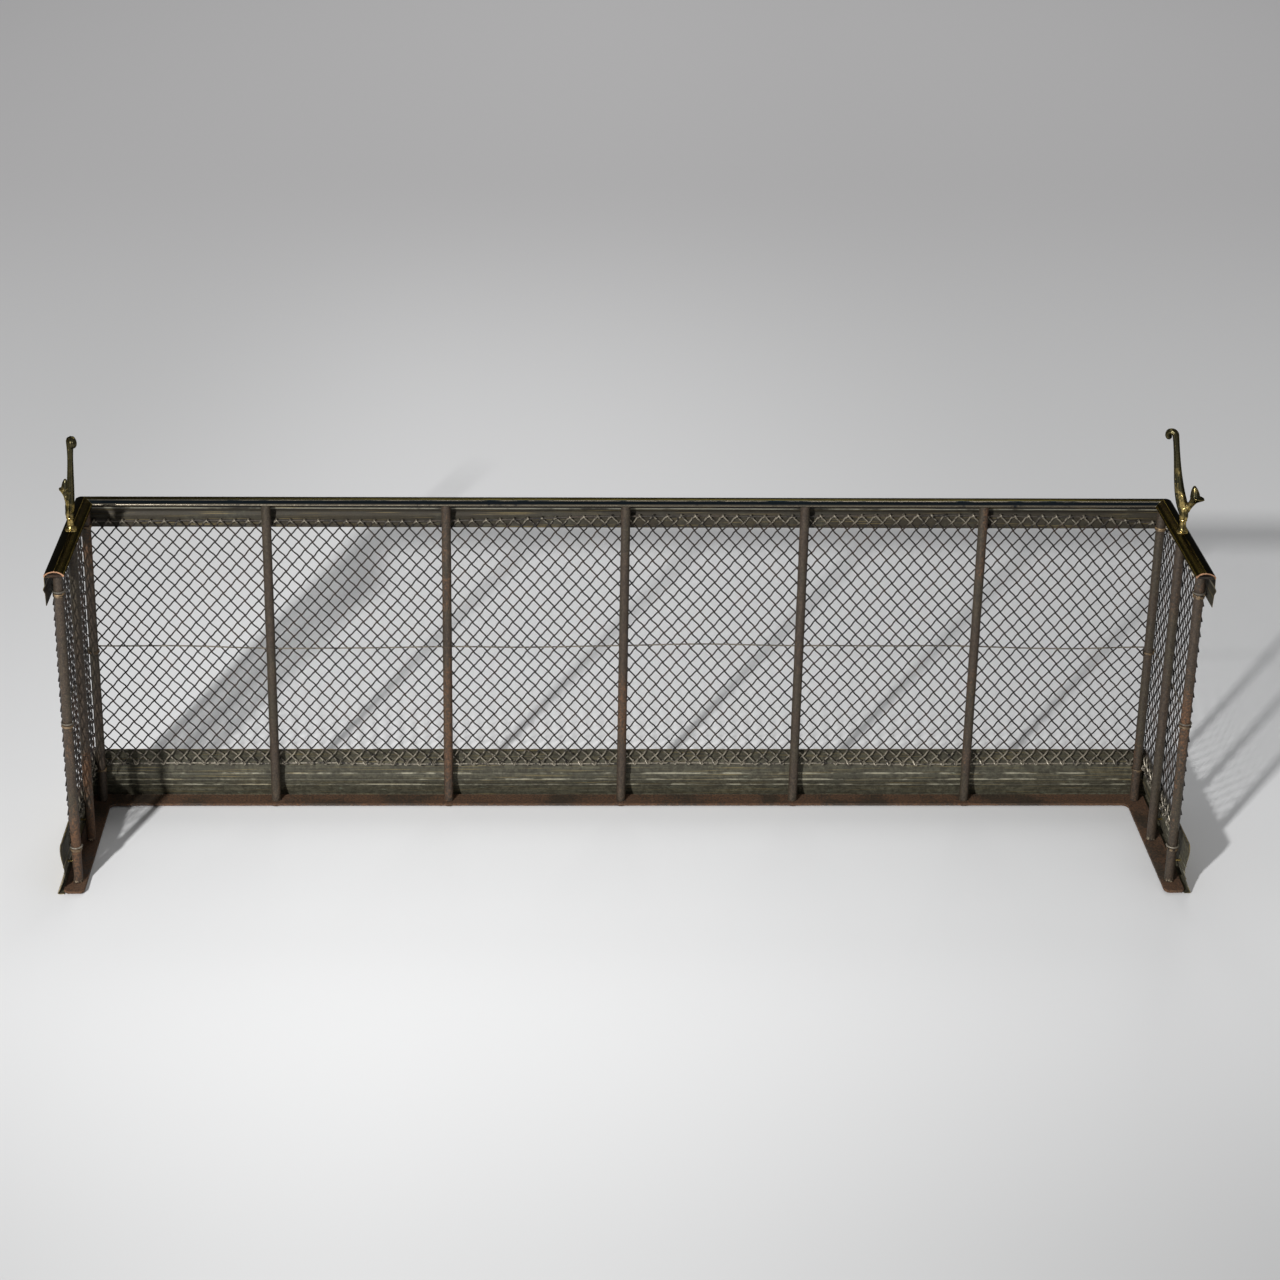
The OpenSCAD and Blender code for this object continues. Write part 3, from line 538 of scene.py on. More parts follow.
def stem_rings():
    """Turned stem about its own axis: the bore, then foot flange, tall cove, ring, vase, knop and top, each
    as arcs."""
    foot_r, neck, vase_r = 6.0, BORE_R + 1.3, 4.8
    ring_z, knop_z = 12.6, STEM_H - 4.6
    vase_z, vase_half = (ring_z + 1 + knop_z - 1.6) / 2, (knop_z - 1.6 - ring_z - 1) / 2
    cove = arc((0, 0), 1, 0, 90, 12)
    vase = arc((0, 0), 1, -90, 90, 24)
    belly = 1 + 0.12 * np.sin(vase[:, 1] * math.pi * -0.8)
    profile = np.concatenate([
        [[BORE_R, BORE_H], [BORE_R, 0], [foot_r - 0.3, 0], [foot_r, 0.3], [foot_r, 1.1], [foot_r - 0.3, 1.4]],
        columns(neck + (foot_r - neck - 0.4) * (1 - cove[:, 1]), 1.4 + 10 * (1 - cove[:, 0])),
        arc((neck, ring_z), 1.1, -70, 70, 9),
        columns(neck + (vase_r - neck) * vase[:, 0] * belly, vase_z + vase_half * vase[:, 1]),
        arc((neck, knop_z), 1.3, -80, 80, 9),
        [[BORE_R, STEM_H]]])
    return turned(profile, (0, 0), 48)


def stations_to_rings(stations, flutes=0.0, sides=40):
    """Rings round stations (across, up, half width in the plane, half width out of it, lean in degrees):
    an ellipse turned by the lean, with eight flutes cut a share of its size deep."""
    across, up, wide, deep, lean = (stations[:, k, None] for k in range(5))
    angle = np.arange(sides) * TURN / sides
    lean = np.radians(lean)
    cut = 1 - flutes * (1 - np.cos(8 * angle)) / 2
    x = across + wide * cut * np.cos(angle) * np.cos(lean)
    z = up + wide * cut * np.cos(angle) * np.sin(lean)
    return columns(x, deep * cut * np.sin(angle), z)


def arm_stations():
    """Tall arm: a cubic curve from the fork up to the scroll, thick at its root and spreading sideways as a
    square at its top, then the scroll's closing arc. Returns the stations and the middle of its roll."""
    side, root = np.array([3.6, 3.2]), np.array([6.8, 4.8])
    scroll_z = ARM_H - side[0] - SCROLL_R
    a, b = np.array([0.6, STEM_H - 9]), np.array([-0.55 * ARM_LEAN, STEM_H + 11])
    c, d = np.array([-0.7 * ARM_LEAN, scroll_z - 32]), np.array([-ARM_LEAN, scroll_z])
    t = np.linspace(0, 1, 40)[:, None]
    place = (1 - t) ** 3 * a + 3 * t * (1 - t) ** 2 * b + 3 * t * t * (1 - t) * c + t ** 3 * d
    way = (1 - t) ** 2 * (b - a) + 2 * t * (1 - t) * (c - b) + t * t * (d - c)
    thick = np.cos(np.minimum(1, t / 0.9) * math.pi / 2) ** 2
    lean = np.degrees(np.arctan2(way[:, 1], way[:, 0])) - 90
    flare = SCROLL_FLARE * np.clip(4 * t - 3, 0, 1) ** 2 * [0, 1]
    neck = np.column_stack([place, side + thick * (root - side) + flare, lean])
    start = math.atan2(c[0] - d[0], d[1] - c[1])
    centre = d - SCROLL_R * np.array([math.cos(start), math.sin(start)])
    share = np.linspace(0, 1, 22)[1:]
    turn = start + share * (math.radians(222) - start)
    radius = SCROLL_R * (1 - 0.42 * share)
    scroll = np.column_stack([centre[0] + radius * np.cos(turn), centre[1] + radius * np.sin(turn),
                              side[0] - 0.5 * share, 0 * share + side[1] + SCROLL_FLARE, np.degrees(turn)])
    return np.concatenate([neck, scroll]), scroll[-1, :2]


def bud_stations():
    """Short arm: stations of a branch that turns up into a pointed bud with a spread lip, drawn through
    twelve chosen stations by cubic interpolation."""
    lip, fork, reach = BUD_H - 14, STEM_H - 7, BUD_REACH
    chosen = np.array([
        [1.8, fork, 4.0, 3.4, -25], [0.5 * reach, fork + (lip - fork) * 0.3, 3.6, 3.1, -30],
        [reach - 1.6, lip - 7.5, 3.6, 3.1, -30], [reach + 0.4, lip - 4, 4.4, 3.9, -22],
        [reach + 2.5, lip - 1.5, 6.6, 5.2, -14], [reach + 4.0, lip, 8.1, 6.2, -8],
        [reach + 4.0, lip + 0.9, 8.0, 6.2, -6], [reach + 1.9, lip + 2.1, 5.6, 4.8, -3],
        [reach + 1.4, lip + 5.3, 5.0, 3.9, 0], [reach + 0.8, lip + 9, 3.7, 3.0, 0],
        [reach + 0.2, lip + 12, 2.1, 1.8, 0], [reach, BUD_H - 0.5, 0.8, 0.7, 0]])
    knots = np.arange(len(chosen))
    fine = np.linspace(0, len(chosen) - 1, 56)
    low = np.clip(np.floor(fine).astype(int), 0, len(chosen) - 2)
    t = (fine - low)[:, None]
    slope = np.gradient(chosen, knots, axis=0)
    a, b, m, n = chosen[low], chosen[low + 1], slope[low], slope[low + 1]
    return ((2 * t ** 3 - 3 * t ** 2 + 1) * a + (t ** 3 - 2 * t ** 2 + t) * m
            + (3 * t ** 2 - 2 * t ** 3) * b + (t ** 3 - t ** 2) * n)


def roll_rings(centre):
    """Roll at the end of the scroll: rings of radius r sin a at heights r cos a, stretched across the arm to
    the scroll's width and closed by small caps."""
    angle = np.linspace(0.06, math.pi - 0.06, 16)
    ball = turned(ROLL_R * columns(np.sin(angle), np.cos(angle)), (0, 0), 24)
    return ball * [1, (2.8 + SCROLL_FLARE) / ROLL_R, 1] + np.array([centre[0], 0, centre[1]])


def volute_rings(centre, side):
    """Small spiral boss on the arm's root: a cord of shrinking radius on a closing spiral, one side of it."""
    share = np.linspace(0, 1, 40)
    turn = share * 1.6 * TURN + 0.5
    radius = VOLUTE_R * (1 - 0.82 * share)
    path = columns(centre[0] + radius * np.cos(turn), side * 2.8, centre[1] + radius * np.sin(turn))
    return tube(path, 1.15 - 0.35 * share, np.array([0, 1.0, 0]), 12)


def make_rest(word, side, turn, finish):
    """A cast rest: all its forms as closed skins, fused into one casting with small fillets, then placed on
    its spigot and turned."""
    shell = Shell().skin(stem_rings())
    arm, roll = arm_stations()
    shell.skin(stations_to_rings(arm, 0.10))
    shell.skin(stations_to_rings(bud_stations(), 0.07))
    shell.skin(roll_rings(roll))
    for face in (-1, 1):
        shell.skin(volute_rings(VOLUTE_AT, face))
    piece = finished(f"{word}_iron_rest_casting", shell, finish, [f"{word}_iron_rest"],
                     f"{word}_rest")
    fuse = piece.modifiers.new("Fuse", "REMESH")
    fuse.mode = "VOXEL"
    fuse.voxel_size = sizes()["casting"] * MM
    fillet = piece.modifiers.new("Fillet", "SMOOTH")
    fillet.factor = 0.5
    fillet.iterations = 4
    graph = bpy.context.evaluated_depsgraph_get()
    cast = bpy.data.meshes.new_from_object(piece.evaluated_get(graph))
    piece.modifiers.clear()
    cast.transform(Matrix.Translation(Vector((side * HALF_SPAN, SIDE_Y, REST_Z)) * MM)
                   @ Matrix.Rotation(math.radians(turn), 4, "Z"))
    piece.data = cast
    cast.shade_smooth()


# ---------- finishes ----------

class Value:
    """A number of a shader: wraps a socket, and turns arithmetic into Math nodes."""

    def __init__(self, finish, socket):
        self.finish, self.socket = finish, socket

    def math(self, operation, *others):
        return self.finish.node("ShaderNodeMath", {"operation": operation},
                                dict(enumerate((self, *others))))

    def __add__(self, other):
        return self.math("ADD", other)

    def __sub__(self, other):
        return self.math("SUBTRACT", other)

    def __mul__(self, other):
        return self.math("MULTIPLY", other)

    def __rsub__(self, other):
        return self.finish.node("ShaderNodeMath", {"operation": "SUBTRACT"}, {0: other, 1: self})

    def __abs__(self):
        return self.math("ABSOLUTE")

    def most(self, other):
        return self.math("MAXIMUM", other)

    __radd__ = __add__
    __rmul__ = __mul__


class Finish:
    """A material being made: its nodes, and one shader at the end of them."""

    def __init__(self, name):
        self.material = bpy.data.materials.new(name)
        self.material.use_nodes = True
        self.tree = self.material.node_tree
        self.tree.nodes.clear()

    def node(self, kind, settings=None, sockets=None, out=0):
        """Adds a node: its settings first, then the value or link of each socket."""
        made = self.tree.nodes.new(kind)
        for name, setting in (settings or {}).items():
            setattr(made, name, setting)
        for name, given in (sockets or {}).items():
            if isinstance(given, Value):
                self.tree.links.new(given.socket, made.inputs[name])
            else:
                made.inputs[name].default_value = given
        return Value(self, made.outputs[out] if made.outputs else None)

    def squeezed(self, where, stretch):
        """Coordinates squeezed so that a pattern on them is drawn out the other way."""
        return self.node("ShaderNodeMapping", sockets={"Vector": where, "Scale": stretch})

    def place(self, stretch=(1, 1, 1)):
        """Object coordinates."""
        return self.squeezed(self.node("ShaderNodeTexCoord", out="Object"), stretch)

    def lie(self, stretch=(1, 1, 1)):
        """The notes of a run: along, reach, share round the section."""
        where = self.node("ShaderNodeAttribute", {"attribute_name": "lie"}, out="Vector")
        return self.squeezed(where, stretch)

    def parts(self, vector):
        """The three numbers of a vector."""
        split = self.node("ShaderNodeSeparateXYZ", sockets={0: vector})
        return [Value(self, socket) for socket in split.socket.node.outputs]

    def noise(self, where, scale, detail=4.0, rough=0.55):
        """Cloudy noise about 0.5, with more octaves for more detail."""
        return self.node("ShaderNodeTexNoise", sockets={"Vector": where, "Scale": scale, "Detail": detail,
                                                        "Roughness": rough})

    def cells(self, where, scale):
        """Distance to the nearest of scattered points."""
        return self.node("ShaderNodeTexVoronoi", sockets={"Vector": where, "Scale": scale})

    def rise(self, value, low, high, to_low=0.0, to_high=1.0):
        """A smooth step: to_low where the value is below low, to_high above high."""
        return self.node("ShaderNodeMapRange", {"interpolation_type": "SMOOTHSTEP"},
                         {"Value": value, "From Min": low, "From Max": high, "To Min": to_low,
                          "To Max": to_high})

    def blend(self, share, under, over):
        """Colour under, turning to colour over with the share."""
        under, over = (c if isinstance(c, Value) else (*c, 1) for c in (under, over))
        return self.node("ShaderNodeMix", {"data_type": "RGBA"}, {0: share, 6: under, 7: over}, out=2)

    def layers(self, body, *coats):
        """A colour under coats that are laid on in order, each a share and a colour."""
        for share, coat in coats:
            body = self.blend(share, body, coat)
        return body

    def tint(self, base, value):
        """A colour made lighter or darker by a number, through Vector Math."""
        return self.node("ShaderNodeVectorMath", {"operation": "SCALE"}, {0: base, "Scale": value})

    def bump(self, height, depth, strength):
        """A normal bent by a height of a depth in metres."""
        return self.node("ShaderNodeBump",
                         sockets={"Height": height, "Distance": depth, "Strength": strength})

    def done(self, **sockets):
        """Ends the material in one Principled shader."""
        names = {name.replace("_", " "): value for name, value in sockets.items()}
        shader = self.node("ShaderNodeBsdfPrincipled", sockets=names)
        self.node("ShaderNodeOutputMaterial", sockets={"Surface": shader})
        return self.material


# Shades that the changeable colours are mixed with
OLIVE_IRON = (0.060, 0.052, 0.032)
PALE_RUST = (0.16, 0.105, 0.070)
RUBBED_IRON = (0.46, 0.39, 0.27)
BROWN_GOLD = (0.30, 0.225, 0.085), (0.17, 0.13, 0.055)
FRIEZE_BROWN = (0.052, 0.040, 0.023)
REED_HIGHLIGHT = (0.34, 0.32, 0.24)
LEDGE_HIGHLIGHT = (0.30, 0.29, 0.23)
SLATE_HIGHLIGHT = (0.44, 0.40, 0.35)
CUT_BRASS = (0.72, 0.40, 0.24)
OLIVE_CASTING = (0.036, 0.036, 0.022)
WIRE_DUST = (0.11, 0.095, 0.075)


def rusted_iron(name, rusty, drawn=(1, 1, 1), depth=1.0, worn=0.0):
    """Iron with scale, pits and patches of rust. rusty is the share of rust from 0 to 1, drawn squeezes the
    pattern along the way that the bar was rolled, depth darkens it as painted shade, and worn brightens the
    feet of the side and end posts."""
    shade = colours()
    finish = Finish(name)
    noise, rise = finish.noise, finish.rise
    where, rolled = finish.place(), finish.place(drawn)
    grain, fine = noise(where, 420, 6, 0.7), noise(where, 1500, 3, 0.6)
    pits = rise(finish.cells(where, 330), 0.10, 0.42)
    patches = rise(noise(rolled, 16, 5) + 0.45 * grain, 0.86 - 0.32 * rusty, 1.0 - 0.28 * rusty)
    dust = rise(noise(rolled, 60, 4), 0.52, 0.78) * 0.35
    olive = rise(noise(rolled, 34, 4, 0.6), 0.42, 0.62) * (0.8 - 0.7 * rusty)
    back, level = finish.parts(where)[1:]
    feet = (rise(level, (BASE_Z + 4.5) * MM, (BASE_Z + 1.5) * MM)
            * rise(back, (POST_Y - 16) * MM, (POST_Y - 30) * MM))
    body = finish.layers(
        shade["iron"],
        (olive, OLIVE_IRON),
        (patches, shade["rust"]),
        (dust, PALE_RUST),
        (rise(grain, 0.62, 0.40) * 0.55, shade["scale"]),
        ((1 - pits) * 0.6, shade["scale"]),
        (feet * rise(grain, 0.50, 0.62) * worn, RUBBED_IRON))
    body = finish.tint(body, (0.35 + 0.75 * fine + 0.5 * grain) * depth)
    relief = 0.5 * grain + 0.3 * pits + 0.2 * fine
    return finish.done(Base_Color=body, Roughness=0.56 + 0.32 * patches - 0.1 * dust,
                       Metallic=0.12 - 0.1 * patches, Specular_IOR_Level=0.35,
                       Normal=finish.bump(relief, 0.00045, 0.9))


def sheet_brass():
    """Aged sheet brass: olive patina drawn out along the run, dark tarnish, scratches, pale verdigris on the
    inner face and a brownish gold on the outer one, a brown frieze with the rail's painted shadow above a
    painted highlight along its bead's top and painted shade just below that, and a skirt with painted
    highlights along its reeds and painted light near its foot."""
    shade = colours()
    finish = Finish("aged_sheet_brass")
    noise, rise, tint = finish.noise, finish.rise, finish.tint
    where = finish.place()
    height = finish.parts(where)[2]
    outer = rise(finish.parts(finish.lie())[2], 0.47, 0.52, 1.0, 0.0)
    inner = 1 - outer
    clouds, spots = noise(where, 26, 5, 0.6), noise(where, 170, 6, 0.7)
    grain = noise(where, 900, 4, 0.6)
    streaks = noise(finish.place((6, 6, 420)), 1.0, 5, 0.65)
    scratches = rise(noise(finish.place((14, 14, 1500)), 1.0, 2, 0.5), 0.60, 0.72)
    green = rise(noise(finish.place((60, 60, 190)), 1.0, 6, 0.68), 0.62, 0.74)
    broken = rise(noise(finish.place((26, 26, 90)), 1.0, 4, 0.7), 0.46, 0.62)
    foot, frieze = rise(height, 0.018, 0.010), rise(height, 0.15, 0.25)
    shade_line, ledge = (BAR_Z - 9.4) * MM, (BAR_Z - 10.2) * MM
    waist = BASE_Z + SKIRT_WAIST_H
    # reeds marks the crests of the three reeds, where painted highlights go
    reeds = sum(rise(abs(height - (waist + k * SKIRT_REED_PITCH) * MM), 0.0016, 0.0005) for k in (-1, 0, 1))
    # under marks painted shade on the bead's upper slope, just below the ledge
    under = rise(abs(height - ledge + 0.0024), 0.0060, 0.0008)
    # pale marks a painted highlight along the top of the frieze's bead
    pale = rise(abs(height - ledge), 0.0010, 0.0004) * rise(clouds + 0.3 * spots, 0.45, 0.70)
    body = finish.layers(
        shade["patina"],
        (rise(clouds, 0.30, 0.70), tint(shade["patina"], 0.62)),
        (rise(streaks, 0.48, 0.72) * 0.55, tint(shade["patina"], 1.9)),
        (outer, finish.blend(rise(clouds, 0.35, 0.65), *BROWN_GOLD)),
        (rise(spots + 0.35 * clouds, 0.74, 0.60) * 0.55, shade["tarnish"]),
        (green * (0.62 - 0.45 * outer), shade["verdigris"]),
        (frieze * rise(clouds, 0.3, 0.6) * 0.85 * inner, FRIEZE_BROWN))
    # 0.45 * foot paints light: the skirt is lighter below 18 mm
    body = finish.layers(
        tint(body, 0.95 + 0.45 * foot - 0.34 * frieze),
        (reeds * broken * 0.8, REED_HIGHLIGHT),
        (under * 0.62 * inner, tint(shade["tarnish"], 0.8)),
        (pale * 0.75 * inner, LEDGE_HIGHLIGHT),
        # The rail's painted shadow along the frieze's top
        (rise(height, shade_line, shade_line + 0.0006) * inner, tint(shade["tarnish"], 0.2)),
        (scratches * 0.4, tint(shade["brass"], 0.6)))
    relief = 0.35 * streaks + 0.35 * spots + 0.15 * grain + 0.15 * green
    return finish.done(Base_Color=tint(body, 0.20 + 1.05 * grain + 0.55 * spots),
                       Roughness=0.56 - 0.2 * outer + 0.2 * spots + 0.2 * green,
                       Metallic=0.35 + 0.45 * outer - 0.3 * green, Normal=finish.bump(relief, 0.0005, 0.8))


def rail_brass(name, base, bright, cut_share, band):
    """Brass of the rail: dark and still smooth enough to mirror, of the base colour up to 3.6 mm inside the
    posts' line and olive outside that, with tarnish in clouds, fine rubs along it, a line of painted shade
    under its inner roll, painted highlights along the crown and the roll, slate turning to gold by a share, and
    a cut end that is bright by a share. band is the middle, half width and strength of the crown's painted
    highlight band."""
    shade = colours()
    finish = Finish(name)
    noise, rise, tint = finish.noise, finish.rise, finish.tint
    where = finish.place()
    along, reach = finish.parts(finish.lie())[:2]
    clouds, spots = noise(where, 22, 5, 0.6), noise(where, 240, 6, 0.7)
    rubs = noise(finish.lie((40, 5200, 0)), 1.0, 3, 0.6)
    grain = noise(where, 1400, 3)
    # base is the front rail's tarnish with its painted sky reflection, or the side rails' olive
    body = finish.blend(rise(reach, -0.0040, -0.0032), base, shade["rail"])
    body = finish.blend(rise(clouds, 0.35, 0.68) * 0.6, body, tint(body, 0.5))
    centre, half, strength = band
    # crown and roll mark painted highlights: a band along the crown and the inner roll, in slate turning to
    # gold
    crown = rise(abs(reach - centre), half, half + 0.0005, strength, 0.0) * rise(clouds, 0.36, 0.55)
    roll = rise(reach, -0.0088, -0.0094) * (0.85 - 0.7 * bright) * rise(spots + clouds, 0.70, 0.95)
    rubbed = tuple(grey + bright * (gold - grey) for grey, gold in zip(SLATE_HIGHLIGHT, shade["brass"]))
    # below marks painted shade under the inner roll
    roll_z = (RAIL_CROWN - RAIL_RISE) * MM
    below = (rise(finish.parts(where)[2], roll_z + 0.0002, roll_z - 0.0004)
             * rise(reach, -0.0079, -0.0084))
    cut = rise(along, (RAIL_LOW[1] + 1.2) * MM, (RAIL_LOW[1] + 0.4) * MM)
    body = finish.layers(
        body,
        (rise(rubs, 0.58, 0.80) * 0.25 * bright, tint(shade["brass"], 0.4)),
        (crown.most(roll), rubbed),
        (below * (0.9 - 0.5 * bright), tint(shade["tarnish"], 0.4)),
        (cut * cut_share, CUT_BRASS),
        (rise(spots, 0.58, 0.70) * 0.35, shade["tarnish"]))
    return finish.done(Base_Color=body, Roughness=0.12 + 0.14 * clouds + 0.2 * rise(spots, 0.5, 0.75),
                       Metallic=0.95, Specular_Tint=(0.10, 0.10, 0.09, 1),
                       Normal=finish.bump(0.5 * rubs + 0.5 * grain, 0.00010, 0.5))


def cast_brass():
    """Cast brass of the rests and saddles: worn to gold low on the stem and along the high parts, and dark
    olive over the arms, with darker hollows."""
    shade = colours()
    finish = Finish("worn_cast_brass")
    noise, rise, tint = finish.noise, finish.rise, finish.tint
    where = finish.place()
    clouds, spots = noise(where, 75, 5, 0.62), noise(where, 420, 5, 0.7)
    grain = noise(where, 1900, 3)
    bend = finish.node("ShaderNodeNewGeometry", out="Pointiness")
    aged = rise(clouds + 4.0 * (finish.parts(where)[2] - (REST_Z + 30) * MM), 0.30, 0.56)
    hollow = rise(bend, 0.50, 0.45).most(rise(spots, 0.50, 0.66) * 0.6)
    body = finish.layers(
        tint(shade["brass"], 0.90),
        (rise(clouds, 0.4, 0.62), tint(shade["brass"], 0.30)),
        (aged * 0.95, OLIVE_CASTING),
        (rise(bend, 0.51, 0.56) * 0.45, shade["brass"]),
        (hollow, shade["tarnish"]))
    return finish.done(Base_Color=body, Roughness=0.12 + 0.06 * aged + 0.16 * spots, Metallic=0.95,
                       Specular_Tint=(0.35, 0.33, 0.26, 1),
                       Normal=finish.bump(0.6 * spots + 0.4 * grain, 0.00028, 0.8))


def weathered_wire(name, whole=0.0, low=0.0, high=0.0, ends=0.0, metal=None):
    """Weathered wire: near black with a little rust, and rubbed bare in short lengths. whole and ends say how
    much of it is bare everywhere and round the end posts; low and high say how much painted highlight it gets
    in front of the skirt and at the frieze; metal is the colour of what is bare and of the painted highlights."""
    shade = colours()
    finish = Finish(name)
    noise, rise = finish.noise, finish.rise
    where = finish.place()
    back, height = finish.parts(where)[1:]
    clouds, grain = noise(where, 45, 4, 0.6), noise(where, 800, 5, 0.7)
    # Painted highlights on the wire in front of the skirt and at the frieze
    painted_glint_zones = (rise(height, (SKIRT_HIGH[2] + 2) * MM, (SKIRT_HIGH[2] - 4) * MM) * low).most(
        rise(height, (NET_HIGH[2] - 5) * MM, (NET_HIGH[2] + 1) * MM) * high)
    bare = (painted_glint_zones + whole) * rise(0.5 * clouds + noise(where, 260, 3, 0.6), 0.60, 0.80)
    bare = bare.most(rise(back, (END_Y + 9) * MM, (END_Y + 4) * MM) * ends)
    body = finish.layers(
        shade["wire"],
        (rise(clouds, 0.42, 0.68) * 0.3, finish.tint(shade["rust"], 0.6)),
        (rise(grain, 0.58, 0.75) * 0.15, WIRE_DUST),
        (bare, metal or shade["bare"]))
    return finish.done(Base_Color=body, Roughness=0.62 - 0.24 * bare, Metallic=0.2 + 0.4 * bare,
                       Normal=finish.bump(grain, 0.0002, 0.6))


def studio_floor():
    """Pale floor with painted shade: it darkens softly away behind the fender, and towards the sides and the
    camera.
    """
    shade = colours()
    finish = Finish("pale_floor")
    across, back = finish.parts(finish.place())[:2]
    grain = finish.noise(finish.place(), 3, 2)
    near, far = shade["floor_near"], shade["floor_far"]
    between = tuple(0.8 * n + 0.2 * f for n, f in zip(near, far))
    away = finish.rise(back, 1.1, 2.8)
    base = finish.blend(finish.rise(back, -0.1, 1.4), near, between)
    base = finish.blend(away, base, far)
    dim = finish.rise(across, -0.1, 0.75) * (0.15 - 0.11 * away)
    dim = dim + finish.rise(across, -0.2, -0.85) * (0.19 - 0.19 * away)
    base = finish.tint(base, 1 - dim - finish.rise(back, -0.2, -0.85) * 0.33)
    return finish.done(Base_Color=base, Roughness=0.85 + 0.05 * grain, Specular_IOR_Level=0.2)


# ---------- operators: one for each piece or group of like pieces ----------

class FenderOperator:
    """What the operators of the fender share."""
    bl_options = {"REGISTER", "UNDO"}


def finish_named(name, make):
    """A finish by name, made once."""
    return bpy.data.materials.get(name) or make()


def plate_rings():
    """Base plate: a flat bar's section with eased edges carried round a U. Across it, a point is
    inner + v*(outer - inner); at the corners the inner edge is an arc and the outer one nearly square, and
    at both ends the corners are rounded."""
    reach_in, reach_out = 9.5, PLATE_HIGH[0] - HALF_SPAN
    inner_r, end_r, ease, flat, squareness = 8.0, 6.0, 0.5, 4, 14
    inner_x, inner_y = HALF_SPAN - reach_in, POST_Y - reach_in
    outer_x, outer_y = HALF_SPAN + reach_out, POST_Y + reach_out
    centre = np.array([inner_x - inner_r, inner_y - inner_r])
    corner = arc((0, 0), 1, 0, 90, 19)
    nearly_square = corner / (corner ** squareness).sum(-1, keepdims=True) ** (1 / squareness)
    end = arc((0, 0), end_r, 0, 90, 9)
    straight = np.linspace(PLATE_LOW[1] + end_r, centre[1], 24)[1:-1]
    y = np.concatenate([PLATE_LOW[1] + end_r - end[:, 0], straight])
    inset = np.concatenate([end_r - end[:, 1], 0 * straight])
    x = np.linspace(centre[0], 0, 60)[1:]
    halves = ([columns(inner_x + inset, y), centre + inner_r * corner, columns(x, inner_y)],
              [columns(outer_x - inset, y), centre + ([outer_x, outer_y] - centre) * nearly_square,
               columns(x, outer_y)])
    inner, outer = (np.concatenate([*half, np.concatenate(half)[-2::-1] * [-1, 1]]) for half in halves)
    low, high = PLATE_LOW[2], PLATE_HIGH[2]
    section = np.array([[0, low + ease], [ease, low], [flat, low], [-flat, low], [-ease, low],
                        [0, low + ease], [0, high - ease], [-ease, high], [-flat, high], [flat, high],
                        [ease, high], [0, high - ease]])
    outside = np.array([0, 0, 0, 1, 1, 1, 1, 1, 1, 0, 0, 0])[:, None]
    plan = np.where(outside, outer[:, None], inner[:, None]) + section[:, :1] * unit(outer - inner)[:, None]
    return columns(plan[..., 0], plan[..., 1], section[:, 1])


class FENDER_OT_base_plate(FenderOperator, bpy.types.Operator):
    """Makes the flat iron strip that the posts stand on"""
    bl_idname = "fender.base_plate"
    bl_label = "Base plate"

    def execute(self, context):
        finish = rusted_iron("rusted_plate_iron", 0.85)
        finished("base_plate_iron", Shell().skin(plate_rings()), finish, ["base_plate"])
        return {"FINISHED"}


def post_profile(kind):
    """Profile (r, z) of a post from its riveted foot up: a low dome as a quarter ellipse, tenon, rod with
    eased ends, and above the iron bar either a riveted head or the spigot of a rest."""
    dome = arc((0, 0), 1, 0, 90, 10)
    foot = [*columns(FOOT_R / 2 * (1 + dome[:, 1]), PLATE_LOW[2] * (1 - dome[:, 0])),
            [TENON_R, PLATE_LOW[2]], [TENON_R, BASE_Z]]
    rod = [[POST_R - 0.35, BASE_Z + 0.02], [POST_R, BASE_Z + 0.5],
           *columns(POST_R, np.linspace(BASE_Z + 1.2, BAR_Z - 1.0, 110)),
           [POST_R, BAR_Z - 0.4], [POST_R - 0.35, BAR_Z - 0.02]]
    if kind == "spigot":
        top = [[SPIGOT_R, BAR_Z], [SPIGOT_R, REST_Z + 16.6], [SPIGOT_R - 0.4, REST_Z + 17]]
    else:
        over = BAR_HIGH[2]
        top = [[TENON_R, BAR_Z], [TENON_R, over], [HEAD_R, over], [3.6, over + 0.9],
               [2.5, over + HEAD_H - 0.2], [1.6, over + HEAD_H]]
    return np.array([*foot, *rod, *top])


class FENDER_OT_posts(FenderOperator, bpy.types.Operator):
    """Makes the eleven round iron posts, each a little uneven from the forge"""
    bl_idname = "fender.posts"
    bl_label = "Posts"

    def execute(self, context):
        finish = rusted_iron("dull_post_iron", 0.25, (1, 1, 0.35), worn=0.9)
        names = [f"front_post_{k + 1}" for k in range(FRONT_POSTS)]
        names += [f"{word}_{place}_post" for word in ("left", "right") for place in ("corner", "side", "end")]
        for number, name in enumerate(names):
            x, y = middle(name)[:2]

            def forged(angle, z, phase=number * 2.4):
                """Unevenness of a forged rod, still at its two shoulders."""
                calm = np.clip((z - BASE_Z) / 8, 0, 1) * np.clip((BAR_Z - z) / 8, 0, 1)
                rough = np.sin(2 * angle + z / 17 + phase) + 0.6 * np.sin(3 * angle - z / 7.3 + 2 * phase)
                return calm * (0.05 * rough + 0.05 * np.sin(z / 5.1 + phase))

            profile = post_profile("spigot" if "side" in name else "riveted")
            shell = Shell().skin(turned(profile, (x, y), 32, forged))
            finished(name + "_iron", shell, finish, [name])
        return {"FINISHED"}


